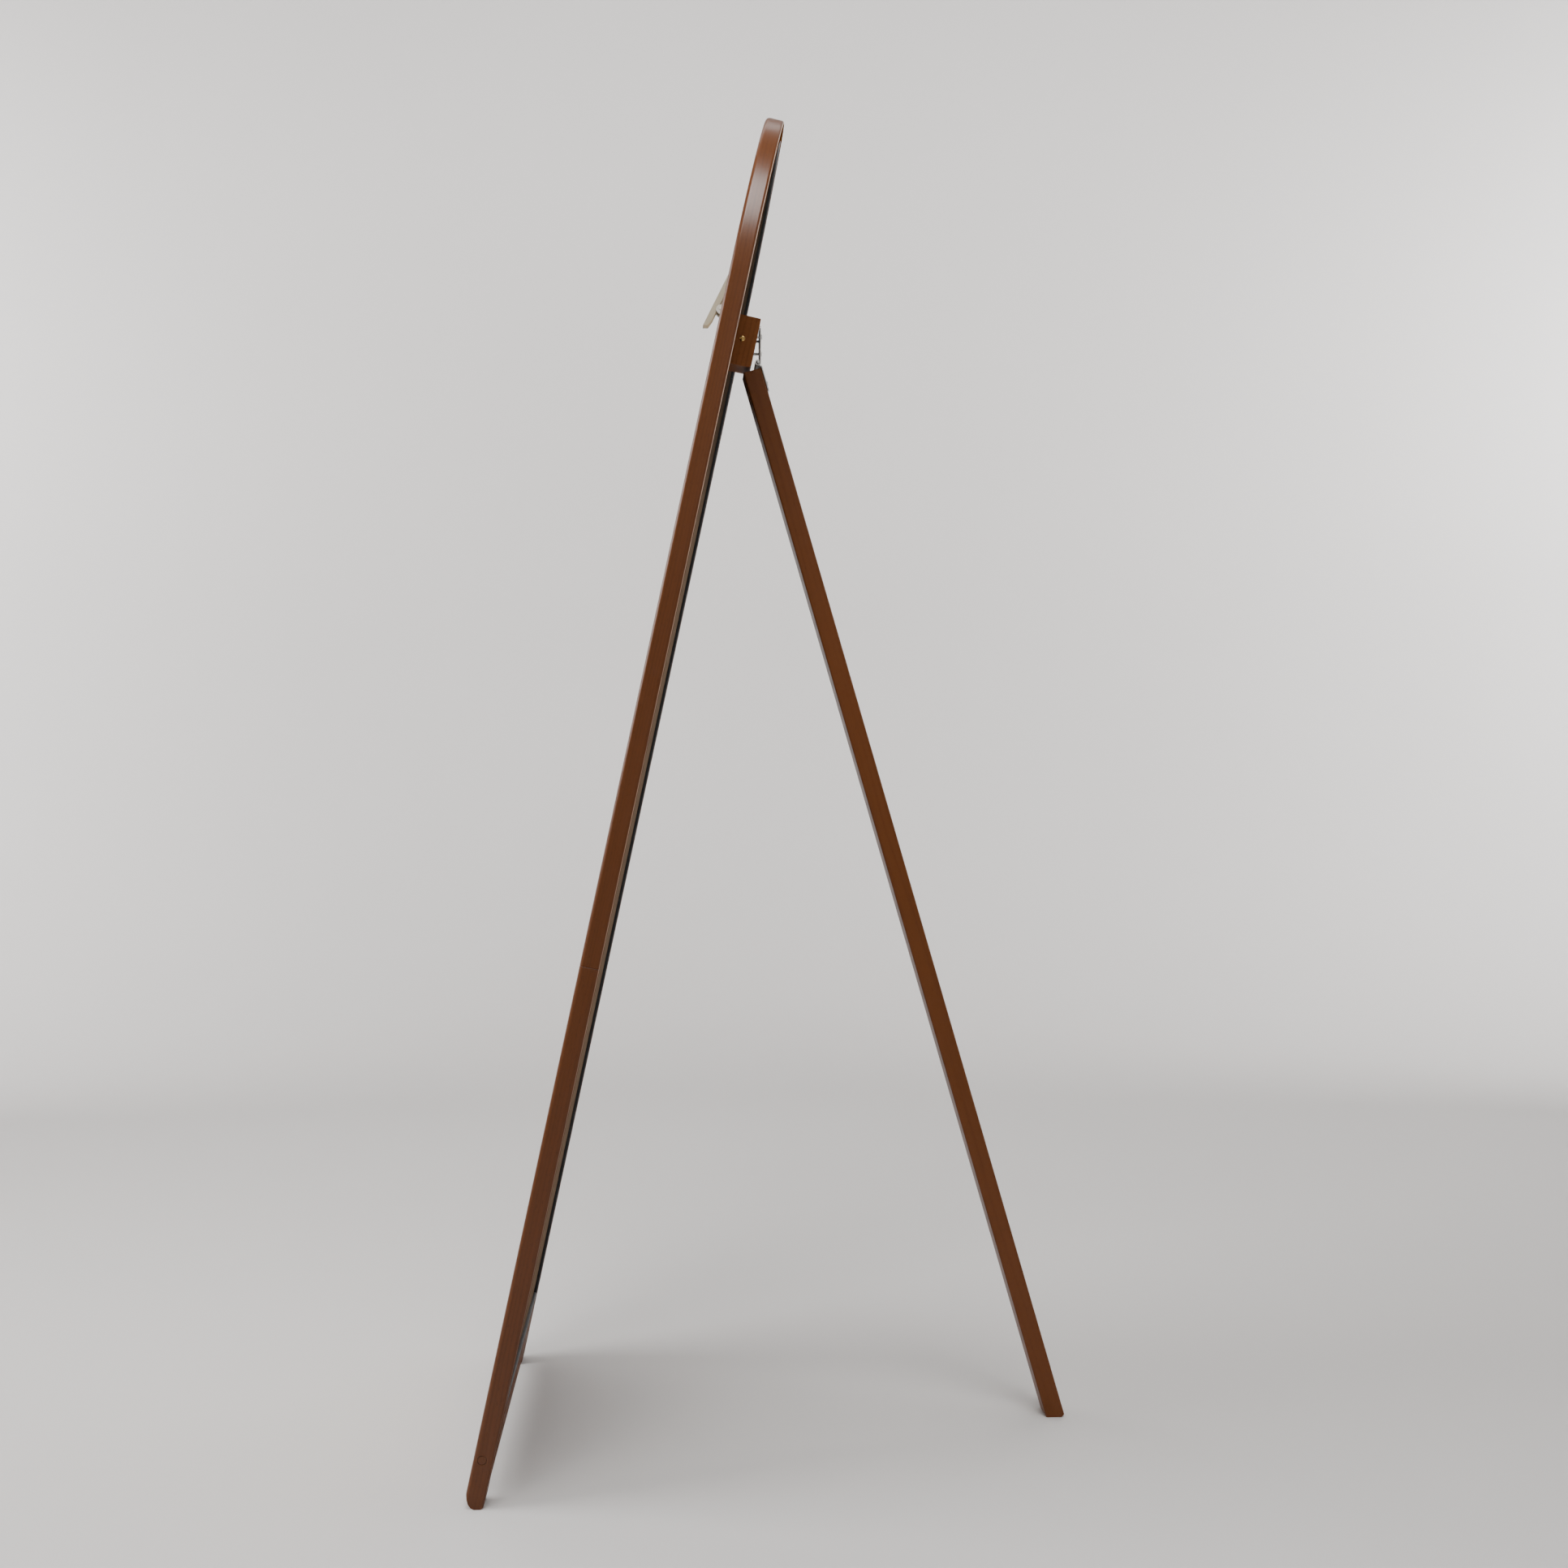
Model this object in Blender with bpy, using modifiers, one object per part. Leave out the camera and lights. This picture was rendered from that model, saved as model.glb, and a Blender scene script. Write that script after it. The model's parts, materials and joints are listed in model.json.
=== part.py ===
"""Arched wooden board easel with a hinged prop leg.

The easel is a round-topped frame that leans back on its two feet. A drawing board and a back
board sit in the frame's rebate. A block on the back carries a butt hinge, and the prop leg swings
on that hinge. A sprung peg on the front of the board holds a sheet.

Axes: +X across the width, +Y towards the rear, +Z up. Inside the leaning frame a point is given
as (u, w, v): across, back from the front face, and up along the front face from the floor.
"""

import math

import bmesh
import bpy
from mathutils import Matrix, Vector

GAP = 0.0003

# Frame
LEAN = math.radians(12.1)
FRAME_WIDTH = 0.560
FRAME_LENGTH = 1.784
FRAME_DEPTH = 0.024
STILE_WIDTH = 0.035
SPLICE_HEIGHT = 0.658
FRONT_ROUND = 0.005
BACK_ROUND = 0.0035
ARCH_STEPS = 40
TOE = ((0.0136, 0.0), (0.0066, 0.0064), (0.0041, 0.0190))    # over the floor, from the front of the foot
HEEL = ((0.0220, 0.0), (0.0262, 0.0078))

# Bottom rail and its fixings
RAIL_CLEARANCE = 0.030
RAIL_HEIGHT = 0.085
RAIL_SCREW_HEIGHT = 0.062
RAIL_SCREW_DEPTH = 0.0105
RAIL_SCREW_LENGTH = 0.060
RAIL_SCREW_RADIUS = 0.0030
RAIL_HEAD_RADIUS = 0.0045
PLUG_RADIUS = 0.0052
PLUG_THICKNESS = 0.0050
DOWEL_RADIUS = 0.0040
DOWEL_LENGTH = 0.050
RAIL_DOWEL_ABOVE_SCREW = 0.030

# Boards in the rebate
FRONT_LIP = 0.008
REBATE_WIDTH = 0.010
BOARD_THICKNESS = 0.0074
BACK_BOARD_THICKNESS = 0.0030
BEAD_WIDTH = 0.007
BEAD_SET_BACK = 0.0005

# Hinge block and hinge
BLOCK_WIDTH = 0.044
BLOCK_BELOW_CROWN = 0.2555
BLOCK_HEIGHT = 0.0675
BLOCK_PROUD = 0.0235
BLOCK_ROUND = 0.005
PIN_ABOVE_BLOCK_FOOT = 0.0098
PIN_BEHIND_BLOCK = 0.0083
HINGE_WIDTH = 0.040
KNUCKLE_RADIUS = 0.0040
KNUCKLE_MIDDLE = 0.0140
LEAF_THICKNESS = 0.0015
LEAF_NOTCH = 0.0050
LOWER_LEAF_LENGTH = 0.040
PIN_RADIUS = 0.0020
PIN_CLEARANCE = 0.0001
HINGE_SCREW_RADIUS = 0.00175
HINGE_SCREW_LENGTH = 0.018
HINGE_SCREW_HEAD = 0.0034
HINGE_HEAD_HEIGHT = 0.0019
HINGE_SCREW_SPREAD = 0.012
UPPER_SCREW_ROWS = (0.016, 0.036)
LOWER_SCREW_ROWS = (0.016, 0.029)
BLOCK_SCREW_LENGTH = 0.022
BLOCK_SCREW_HEAD = 0.0036
BLOCK_SCREW_INSET = 0.014
SIDE_SCREW_HEAD = 0.0040
SIDE_SCREW_LENGTH = 0.016
SIDE_SCREW_FROM_FOOT = 0.036
SIDE_SCREW_BEHIND_FRAME = 0.0045

# Prop leg
LEG_SPLAY = math.radians(16.24)
LEG_WIDTH = 0.040
LEG_THICKNESS = 0.025
LEG_DROP = 0.0080
LEG_ROUND = 0.002
LEG_FOOT_CHAMFER = 0.005

# Sprung peg on the front
PEG_BELOW_CROWN = 0.2780
PEG_STANDOFF = 0.0274
PEG_TILT = math.radians(14.2)
PEG_LENGTH = 0.090
PEG_WIDTH = 0.018
PEG_THICKNESS = 0.008
PEG_PIVOT_UP = 0.030
PEG_PIVOT_BEHIND = 0.0038
PEG_BOSS_RADIUS = 0.0052
PEG_PIN_RADIUS = 0.0015
BRACKET_THICKNESS = 0.0015
BRACKET_LENGTH = 0.068
BRACKET_BELOW_PIVOT = 0.021
EAR_RADIUS = 0.0060
SPRING_WIRE = 0.0006
SPRING_RADIUS = 0.0030
SPRING_TURNS = 4
SPRING_PITCH = 0.0016
SPRING_LEG = 0.018
SPRING_SLOT = 0.0096
PEG_SCREW_RADIUS = 0.0014
PEG_SCREW_HEAD = 0.0028
PEG_SCREW_LENGTH = 0.0075
PEG_SCREW_ROWS = (-0.0145, 0.0390)
JAW_START, JAW_FOOT, JAW_TIP = 0.87, 0.93, 0.96    # shares of the peg's length
HANDLE_TAPER = 0.14                                # share of the peg's length that thins to its end
HANDLE_END_THICKNESS = 0.8                         # share of the peg's thickness
EAR_ROOT = 1.7                                     # half the ear's width on the plate, in ear radii
SLOT_HALF_WIDTH = 0.0006                           # screwdriver slot in the side screw

# Worked out from the sizes above
SPRING_LINE = FRAME_LENGTH - FRAME_WIDTH / 2
OPENING_HALF = FRAME_WIDTH / 2 - STILE_WIDTH
REBATE_HALF = OPENING_HALF + REBATE_WIDTH
RAIL_FOOT = RAIL_CLEARANCE / math.cos(LEAN)
RAIL_TOP = RAIL_FOOT + RAIL_HEIGHT
REBATE_FOOT = RAIL_TOP - REBATE_WIDTH
BOARD_FACE = FRONT_LIP + GAP
BACK_BOARD_FACE = BOARD_FACE + BOARD_THICKNESS + GAP
RECESS_FACE = BACK_BOARD_FACE + BACK_BOARD_THICKNESS
BEAD_HEIGHT = FRAME_DEPTH - RECESS_FACE - GAP - BEAD_SET_BACK
BLOCK_FOOT = FRAME_LENGTH - BLOCK_BELOW_CROWN - BLOCK_HEIGHT
PEG_HANDLE_FOOT = FRAME_LENGTH - PEG_BELOW_CROWN
PEG_PIVOT_IN = PEG_THICKNESS + PEG_PIVOT_BEHIND
BLOCK_BACK = FRAME_DEPTH + BLOCK_PROUD
PIN_UP = BLOCK_FOOT + PIN_ABOVE_BLOCK_FOOT
PIN_BACK = BLOCK_BACK + PIN_BEHIND_BLOCK
LEG_BACK = KNUCKLE_RADIUS - LEAF_THICKNESS - GAP

FACING_FRONT = Matrix(((1, 0, 0, 0), (0, 0, -1, 0), (0, 1, 0, 0), (0, 0, 0, 1)))
FACING_SIDE = Matrix(((0, 0, 1, 0), (1, 0, 0, 0), (0, 1, 0, 0), (0, 0, 0, 1)))
ALONG_X = Matrix.Rotation(math.pi / 2, 4, "Y")


# ---------------------------------------------------------------- scene, materials, parents

def clear_scene():
    for item in list(bpy.data.objects):
        bpy.data.objects.remove(item, do_unlink=True)


def new_collection(name):
    collection = bpy.data.collections.new(name)
    bpy.context.scene.collection.children.link(collection)
    return collection


def new_material(name, colour, roughness, metallic=0.0):
    material = bpy.data.materials.new(name)
    material.use_nodes = True
    shader = material.node_tree.nodes["Principled BSDF"]
    shader.inputs["Base Color"].default_value = (*colour, 1.0)
    shader.inputs["Roughness"].default_value = roughness
    shader.inputs["Metallic"].default_value = metallic
    return material


def new_empty(name, parent=None, location=(0, 0, 0), tilt=0.0):
    empty = bpy.data.objects.new(name, None)
    empty.empty_display_size = 0.03
    empty.location = location
    empty.rotation_euler = (tilt, 0, 0)
    empty.parent = parent
    PARTS.objects.link(empty)
    return empty


def place(obj, parent, matrix=Matrix(), material=None, cutter=False):
    """Hang an object under its parent and put it with the parts or with the cutters."""
    for collection in list(obj.users_collection):
        collection.objects.unlink(obj)
    (CUTTERS if cutter else PARTS).objects.link(obj)
    obj.parent = parent
    obj.matrix_local = matrix
    if cutter:
        obj.hide_render = True
        obj.display_type = "WIRE"
    if material:
        obj.data.materials.append(material)
    return obj


# ---------------------------------------------------------------- shapes

def rounded_outline(corners, steps=3):
    """Outline of a bar seen end on, from its square corners as (x, y, radius)."""
    outline = []
    for index, (x, y, radius) in enumerate(corners):
        corner = Vector((x, y))
        if radius == 0:
            outline.append(tuple(corner))
            continue
        before = (Vector(corners[index - 1][:2]) - corner).normalized()
        after = (Vector(corners[(index + 1) % len(corners)][:2]) - corner).normalized()
        centre = corner + radius * (before + after)
        for step in range(steps + 1):
            angle = math.pi / 2 * step / steps
            outline.append(tuple(centre - radius * (after * math.cos(angle) + before * math.sin(angle))))
    return outline


def section_loop(bm, outline, height):
    """Draw a closed outline at a height and return its edges."""
    verts = [bm.verts.new((x, y, height)) for x, y in outline]
    return [bm.edges.new((a, b)) for a, b in zip(verts, verts[1:] + verts[:1])]


def stretch(bm, edges, rise):
    """Extrude a loop of edges straight up or down and return the new loop."""
    made = bmesh.ops.extrude_edge_only(bm, edges=edges)["geom"]
    verts = [item for item in made if isinstance(item, bmesh.types.BMVert)]
    bmesh.ops.translate(bm, verts=verts, vec=(0, 0, rise))
    return [item for item in made if isinstance(item, bmesh.types.BMEdge)]


def cap_and_finish(bm, name):
    """Close the open ends, turn the faces outwards and return a smooth-shaded object."""
    rims = [edge for edge in bm.edges if edge.is_boundary]
    bmesh.ops.holes_fill(bm, edges=rims, sides=0)
    bmesh.ops.recalc_face_normals(bm, faces=bm.faces)
    mesh = bpy.data.meshes.new(name)
    bm.to_mesh(mesh)
    bm.free()
    mesh.shade_smooth()
    mesh.set_sharp_from_angle(angle=math.radians(40))
    return bpy.data.objects.new(name, mesh)


def slice_off(bm, point, outward):
    """Cut away what lies beyond a plane, and close the cut."""
    geometry = bm.verts[:] + bm.edges[:] + bm.faces[:]
    bmesh.ops.bisect_plane(bm, geom=geometry, plane_co=point, plane_no=outward, clear_outer=True)
    rims = [edge for edge in bm.edges if edge.is_boundary]
    bmesh.ops.holes_fill(bm, edges=rims, sides=0)


def box(name, low, high):
    """A box between two corners, with its size in the mesh."""
    bm = bmesh.new()
    size = Vector(high) - Vector(low)
    middle = (Vector(high) + Vector(low)) / 2
    bmesh.ops.create_cube(bm, size=1.0, matrix=Matrix.Translation(middle) @ Matrix.Diagonal((*size, 1)))
    mesh = bpy.data.meshes.new(name)
    bm.to_mesh(mesh)
    bm.free()
    return bpy.data.objects.new(name, mesh)


def rod(name, radius, length, sides=24):
    """A cylinder along Z about the origin."""
    bm = bmesh.new()
    bmesh.ops.create_cone(bm, cap_ends=True, segments=sides, radius1=radius, radius2=radius, depth=length)
    return cap_and_finish(bm, name)


def outline_solid(name, outline, thickness):
    """A flat outline given a thickness: a filled 2D curve turned into a mesh."""
    curve = bpy.data.curves.new(name + "_outline", "CURVE")
    curve.dimensions = "2D"
    curve.fill_mode = "BOTH"
    curve.extrude = thickness / 2
    spline = curve.splines.new("POLY")
    spline.points.add(len(outline) - 1)
    for point, (x, y) in zip(spline.points, outline):
        point.co = (x, y, 0, 1)
    spline.use_cyclic_u = True
    drawing = bpy.data.objects.new(name + "_outline", curve)
    bpy.context.scene.collection.objects.link(drawing)
    evaluated = drawing.evaluated_get(bpy.context.evaluated_depsgraph_get())
    mesh = bpy.data.meshes.new_from_object(evaluated)
    bpy.data.objects.remove(drawing, do_unlink=True)
    bm = bmesh.new()
    bm.from_mesh(mesh)
    bmesh.ops.remove_doubles(bm, verts=bm.verts, dist=0.00001)
    bmesh.ops.recalc_face_normals(bm, faces=bm.faces)
    bm.to_mesh(mesh)
    bm.free()
    mesh.name = name
    mesh.shade_smooth()
    mesh.set_sharp_from_angle(angle=math.radians(40))
    return bpy.data.objects.new(name, mesh)


def turned(name, profile, steps=16):
    """A turned piece about Z. The profile lists (radius, height) from the top to the bottom."""
    verts = [(radius, 0, height) for radius, height in profile]
    edges = [(index, index + 1) for index in range(len(profile) - 1)]
    mesh = bpy.data.meshes.new(name)
    mesh.from_pydata(verts, edges, [])
    obj = bpy.data.objects.new(name, mesh)
    screw = obj.modifiers.new("turn", "SCREW")
    screw.axis = "Z"
    screw.steps = steps
    screw.render_steps = steps
    screw.use_merge_vertices = True
    screw.merge_threshold = 0.00005
    screw.use_smooth_shade = True
    return obj


def arc(centre, radius, start, end, steps):
    """Points along an arc, angles in degrees."""
    points = []
    for step in range(steps + 1):
        angle = math.radians(start + (end - start) * step / steps)
        points.append((centre[0] + radius * math.cos(angle), centre[1] + radius * math.sin(angle)))
    return points


def cut(obj, cutter):
    boolean = obj.modifiers.new("cut_" + cutter.name, "BOOLEAN")
    boolean.operation = "DIFFERENCE"
    boolean.solver = "EXACT"
    boolean.object = cutter


def join(obj, other):
    boolean = obj.modifiers.new("join_" + other.name, "BOOLEAN")
    boolean.operation = "UNION"
    boolean.solver = "EXACT"
    boolean.object = other


def hole(name, radius, length, parent, matrix, *targets):
    """Drill a round hole through every target."""
    cutter = place(rod(name, radius, length), parent, matrix, cutter=True)
    for target in targets:
        cut(target, cutter)


# ---------------------------------------------------------------- frame

def frame_section():
    """The plain section of a lower stile, on the right-hand side."""
    inner, outer = OPENING_HALF, FRAME_WIDTH / 2
    return rounded_outline([
        (outer, 0, FRONT_ROUND), (outer, FRAME_DEPTH, BACK_ROUND),
        (inner, FRAME_DEPTH, BACK_ROUND), (inner, 0, FRONT_ROUND)])


def rebated_section():
    """The section of the bent head, with the rebate for the boards taken out of its inner back."""
    inner, outer = OPENING_HALF, FRAME_WIDTH / 2
    return rounded_outline([
        (outer, 0, FRONT_ROUND), (outer, FRAME_DEPTH, BACK_ROUND), (REBATE_HALF, FRAME_DEPTH, 0),
        (REBATE_HALF, FRONT_LIP, 0), (inner, FRONT_LIP, 0), (inner, 0, FRONT_ROUND)])


def build_arched_head():
    """The bent head: an upper stile, the half-round arch and the other upper stile in one."""
    bm = bmesh.new()
    foot = SPLICE_HEIGHT + GAP
    loop = section_loop(bm, rebated_section(), foot)
    loop = stretch(bm, loop, SPRING_LINE - foot)
    verts = list({vert for edge in loop for vert in edge.verts})
    turn = bmesh.ops.spin(bm, geom=verts + loop, cent=(0, 0, SPRING_LINE), axis=(0, -1, 0),
                          angle=math.pi, steps=ARCH_STEPS)
    loop = [item for item in turn["geom_last"] if isinstance(item, bmesh.types.BMEdge)]
    stretch(bm, loop, foot - SPRING_LINE)
    return place(cap_and_finish(bm, "arched_head"), FRAME, material=STAINED_WOOD)


def over_floor(depth, height):
    """A point measured level and plumb from the front of the foot, in the frame's own plane."""
    return Vector((0, depth * math.cos(LEAN) - height * math.sin(LEAN),
                   depth * math.sin(LEAN) + height * math.cos(LEAN)))


def build_lower_stile(side, name):
    """A lower stile, cut flat to the floor with its toe and its heel relieved."""
    outline = [(side * x, y) for x, y in frame_section()]
    bm = bmesh.new()
    stretch(bm, section_loop(bm, outline, -FRAME_DEPTH), SPLICE_HEIGHT + FRAME_DEPTH)
    rims = [edge for edge in bm.edges if edge.is_boundary]
    bmesh.ops.holes_fill(bm, edges=rims, sides=0)
    floor_down = Vector((0, math.sin(LEAN), -math.cos(LEAN)))
    slice_off(bm, (0, 0, 0), floor_down)
    for outline, forwards in ((TOE, 1), (HEEL, -1)):
        points = [over_floor(*point) for point in outline]
        for start, end in zip(points, points[1:]):
            rise = end - start
            slice_off(bm, start, forwards * Vector((0, -rise.z, rise.y)))
    return place(cap_and_finish(bm, name), FRAME, material=STAINED_WOOD)


def build_bottom_rail():
    half = OPENING_HALF - GAP
    rail = box("bottom_rail", (-half, 0, RAIL_FOOT), (half, FRAME_DEPTH, RAIL_TOP))
    return place(rail, FRAME, material=STAINED_WOOD)


def arched_outline(half, foot, steps=ARCH_STEPS):
    """A round-topped outline: two straight sides and a half circle."""
    return [(-half, foot), (half, foot)] + arc((0, SPRING_LINE), half, 0, 180, steps)


def arched_board(name, half, foot, face, thickness):
    board = outline_solid(name, arched_outline(half, foot), thickness)
    return board, Matrix.Translation((0, face + thickness / 2, 0)) @ FACING_FRONT


def build_frame():
    head = build_arched_head()
    left = build_lower_stile(-1, "left_stile")
    right = build_lower_stile(1, "right_stile")
    rail = build_bottom_rail()
    rebate = box("rebate_cutter", (-REBATE_HALF, FRONT_LIP, REBATE_FOOT),
                 (REBATE_HALF, 2 * FRAME_DEPTH, SPLICE_HEIGHT + REBATE_WIDTH))
    place(rebate, FRAME, cutter=True)
    for member in (left, right, rail):
        cut(member, rebate)
    for side, word, stile in ((-1, "left", left), (1, "right", right)):
        build_splice_dowel(side, word, stile, head)
        build_rail_fixings(side, word, stile, rail)


def build_splice_dowel(side, word, stile, head):
    """A dowel across the joint between the lower stile and the bent head."""
    across = side * (FRAME_WIDTH / 2 - (STILE_WIDTH - REBATE_WIDTH) / 2)
    matrix = Matrix.Translation((across, FRAME_DEPTH / 2, SPLICE_HEIGHT))
    dowel = rod("splice_dowel_" + word, DOWEL_RADIUS, DOWEL_LENGTH)
    place(dowel, FRAME, matrix, RAW_BEECH)
    hole("splice_hole_" + word, DOWEL_RADIUS + GAP, DOWEL_LENGTH + 2 * GAP, FRAME, matrix, stile, head)


def build_rail_fixings(side, word, stile, rail):
    """A plugged screw through the stile into the rail's end, and a dowel above it."""
    outward = Matrix.Rotation(side * math.pi / 2, 4, "Y")
    face = side * FRAME_WIDTH / 2
    at_face = Matrix.Translation((face, RAIL_SCREW_DEPTH, RAIL_SCREW_HEIGHT)) @ outward
    pocket = PLUG_THICKNESS + GAP
    plug = rod("rail_plug_" + word, PLUG_RADIUS, PLUG_THICKNESS)
    place(plug, FRAME, at_face @ Matrix.Translation((0, 0, -PLUG_THICKNESS / 2 - GAP / 2)), STAINED_WOOD)
    head_height = RAIL_HEAD_RADIUS - RAIL_SCREW_RADIUS
    screw = turned("rail_screw_" + word, [
        (0, 0), (RAIL_HEAD_RADIUS, 0), (RAIL_HEAD_RADIUS, -head_height),
        (RAIL_SCREW_RADIUS, -2 * head_height), (RAIL_SCREW_RADIUS, -RAIL_SCREW_LENGTH + 2 * RAIL_SCREW_RADIUS),
        (0, -RAIL_SCREW_LENGTH)])
    seat = pocket + 2 * GAP
    place(screw, FRAME, at_face @ Matrix.Translation((0, 0, -seat)), STEEL)
    shank_hole = RAIL_SCREW_LENGTH + 2 * GAP
    hole("rail_screw_hole_" + word, RAIL_SCREW_RADIUS + GAP, shank_hole, FRAME,
         at_face @ Matrix.Translation((0, 0, -seat - shank_hole / 2)), stile, rail)
    pocket_depth = seat + 2 * head_height + GAP
    hole("plug_hole_" + word, PLUG_RADIUS + GAP, 2 * pocket_depth, FRAME, at_face, stile)
    middle = Matrix.Translation((side * OPENING_HALF, FRAME_DEPTH / 2, RAIL_SCREW_HEIGHT + RAIL_DOWEL_ABOVE_SCREW))
    dowel = rod("rail_dowel_" + word, DOWEL_RADIUS, DOWEL_LENGTH)
    place(dowel, FRAME, middle @ ALONG_X, RAW_BEECH)
    hole("rail_dowel_hole_" + word, DOWEL_RADIUS + GAP, DOWEL_LENGTH + 2 * GAP, FRAME,
         middle @ ALONG_X, stile, rail)


# ---------------------------------------------------------------- boards and beads

def build_boards():
    half = REBATE_HALF - GAP
    foot = REBATE_FOOT + GAP
    front, matrix = arched_board("drawing_board", half, foot, BOARD_FACE, BOARD_THICKNESS)
    place(front, FRAME, matrix, BIRCH_PLY)
    back, matrix = arched_board("back_board", half, foot, BACK_BOARD_FACE, BACK_BOARD_THICKNESS)
    place(back, FRAME, matrix, HARDBOARD)
    return front, back


def build_beads():
    """Black beads that hold the boards in the rebate: one round the arch, three straight."""
    outer = REBATE_HALF - GAP
    inner = outer - BEAD_WIDTH
    face = RECESS_FACE + GAP
    ring = arc((0, SPRING_LINE), outer, 0, 180, ARCH_STEPS)
    ring += arc((0, SPRING_LINE), inner, 180, 0, ARCH_STEPS)
    arch = outline_solid("arch_bead", ring, BEAD_HEIGHT)
    matrix = Matrix.Translation((0, face + BEAD_HEIGHT / 2, 0)) @ FACING_FRONT
    place(arch, FRAME, matrix, BLACK_STAIN)
    foot = REBATE_FOOT + GAP
    back = face + BEAD_HEIGHT
    spans = {
        "left_bead": ((-outer, face, foot), (-inner, back, SPRING_LINE - GAP)),
        "right_bead": ((inner, face, foot), (outer, back, SPRING_LINE - GAP)),
        "foot_bead": ((-inner + GAP, face, foot), (inner - GAP, back, foot + BEAD_WIDTH)),
    }
    for name, (low, high) in spans.items():
        place(box(name, low, high), FRAME, material=BLACK_STAIN)


# ---------------------------------------------------------------- hinge block

def build_hinge_block(back_board):
    low, high = RECESS_FACE + GAP, BLOCK_BACK
    foot, top = BLOCK_FOOT, BLOCK_FOOT + BLOCK_HEIGHT
    corner = arc((high - BLOCK_ROUND, foot + BLOCK_ROUND), BLOCK_ROUND, -90, 0, 6)
    outline = [(low, foot)] + corner + [(high, top), (low, top)]
    block = place(outline_solid("hinge_block", outline, BLOCK_WIDTH), FRAME, FACING_SIDE, STAINED_WOOD)
    for column, word in ((-1, "left"), (1, "right")):
        for row, level in ((foot + BLOCK_SCREW_INSET, "lower"), (top - BLOCK_SCREW_INSET, "upper")):
            build_block_screw(column * BLOCK_WIDTH / 4, row, level + "_" + word, block, back_board)
    build_side_screw(block)
    return block


def build_block_screw(across, up, name, block, back_board):
    """A countersunk screw driven from the front of the back board into the hinge block."""
    slope = BLOCK_SCREW_HEAD - HINGE_SCREW_RADIUS
    tip = -BLOCK_SCREW_LENGTH
    facing = Matrix.Translation((across, BACK_BOARD_FACE + GAP, up)) @ Matrix.Rotation(math.pi / 2, 4, "X")
    screw = turned("block_screw_" + name, [
        (0, 0), (BLOCK_SCREW_HEAD, 0), (HINGE_SCREW_RADIUS, -slope),
        (HINGE_SCREW_RADIUS, tip + 2 * HINGE_SCREW_RADIUS), (0, tip)])
    place(screw, FRAME, facing, STEEL)
    wide = BLOCK_SCREW_HEAD + GAP
    sink = turned("block_sink_" + name, [
        (0, 2 * GAP), (wide, 2 * GAP), (wide, -GAP), (HINGE_SCREW_RADIUS + GAP, -slope - GAP),
        (HINGE_SCREW_RADIUS + GAP, tip - GAP), (0, tip - GAP)])
    place(sink, FRAME, facing, cutter=True)
    cut(back_board, sink)
    cut(block, sink)


def build_side_screw(block):
    """A slotted round-head brass screw in the right-hand side of the hinge block."""
    facing = Matrix.Translation((BLOCK_WIDTH / 2 + GAP, FRAME_DEPTH + SIDE_SCREW_BEHIND_FRAME,
                                 BLOCK_FOOT + SIDE_SCREW_FROM_FOOT)) @ ALONG_X
    height = SIDE_SCREW_HEAD / 2
    screw = turned("block_side_screw", [
        (0, height), (0.55 * SIDE_SCREW_HEAD, 0.8 * height), (0.9 * SIDE_SCREW_HEAD, 0.4 * height),
        (SIDE_SCREW_HEAD, 0), (HINGE_SCREW_RADIUS, 0),
        (HINGE_SCREW_RADIUS, -SIDE_SCREW_LENGTH + 2 * HINGE_SCREW_RADIUS), (0, -SIDE_SCREW_LENGTH)])
    place(screw, FRAME, facing, BRASS)
    slot = box("side_screw_slot", (-SLOT_HALF_WIDTH, -SIDE_SCREW_HEAD, height / 3),
               (SLOT_HALF_WIDTH, SIDE_SCREW_HEAD, 2 * height))
    place(slot, FRAME, facing, cutter=True)
    cut(screw, slot)
    hole("side_screw_hole", HINGE_SCREW_RADIUS + GAP, 2 * SIDE_SCREW_LENGTH + GAP, FRAME, facing, block)


# ---------------------------------------------------------------- hinge

def build_leaf(name, parent, reach, knuckles, upwards):
    """A hinge leaf: a plate whose knuckles wrap the pin, open where the other leaf's are."""
    rear = KNUCKLE_RADIUS
    front = rear - LEAF_THICKNESS
    near, far = sorted((upwards * LEAF_NOTCH, upwards * reach))
    half = HINGE_WIDTH / 2
    leaf = place(box(name, (-half, front, near), (half, rear, far)), parent, material=STEEL)
    for index, (start, end) in enumerate(knuckles):
        low, high = sorted((0, upwards * (LEAF_NOTCH + LEAF_THICKNESS)))
        tongue = box(name + "_tongue_" + str(index), (start, front, low), (end, rear, high))
        place(tongue, parent, cutter=True)
        join(leaf, tongue)
        barrel = rod(name + "_barrel_" + str(index), KNUCKLE_RADIUS, end - start)
        place(barrel, parent, Matrix.Translation(((start + end) / 2, 0, 0)) @ ALONG_X, cutter=True)
        join(leaf, barrel)
    hole(name + "_bore", PIN_RADIUS + PIN_CLEARANCE, 2 * HINGE_WIDTH, parent, ALONG_X, leaf)
    return leaf


def upper_leaf_reach():
    """How far above the pin the plumb upper leaf meets the block's leaning back face."""
    front = KNUCKLE_RADIUS - LEAF_THICKNESS - GAP
    along = (front + PIN_BEHIND_BLOCK * math.cos(LEAN)) / math.sin(LEAN)
    return along * math.cos(LEAN) + PIN_BEHIND_BLOCK * math.sin(LEAN)


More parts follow.
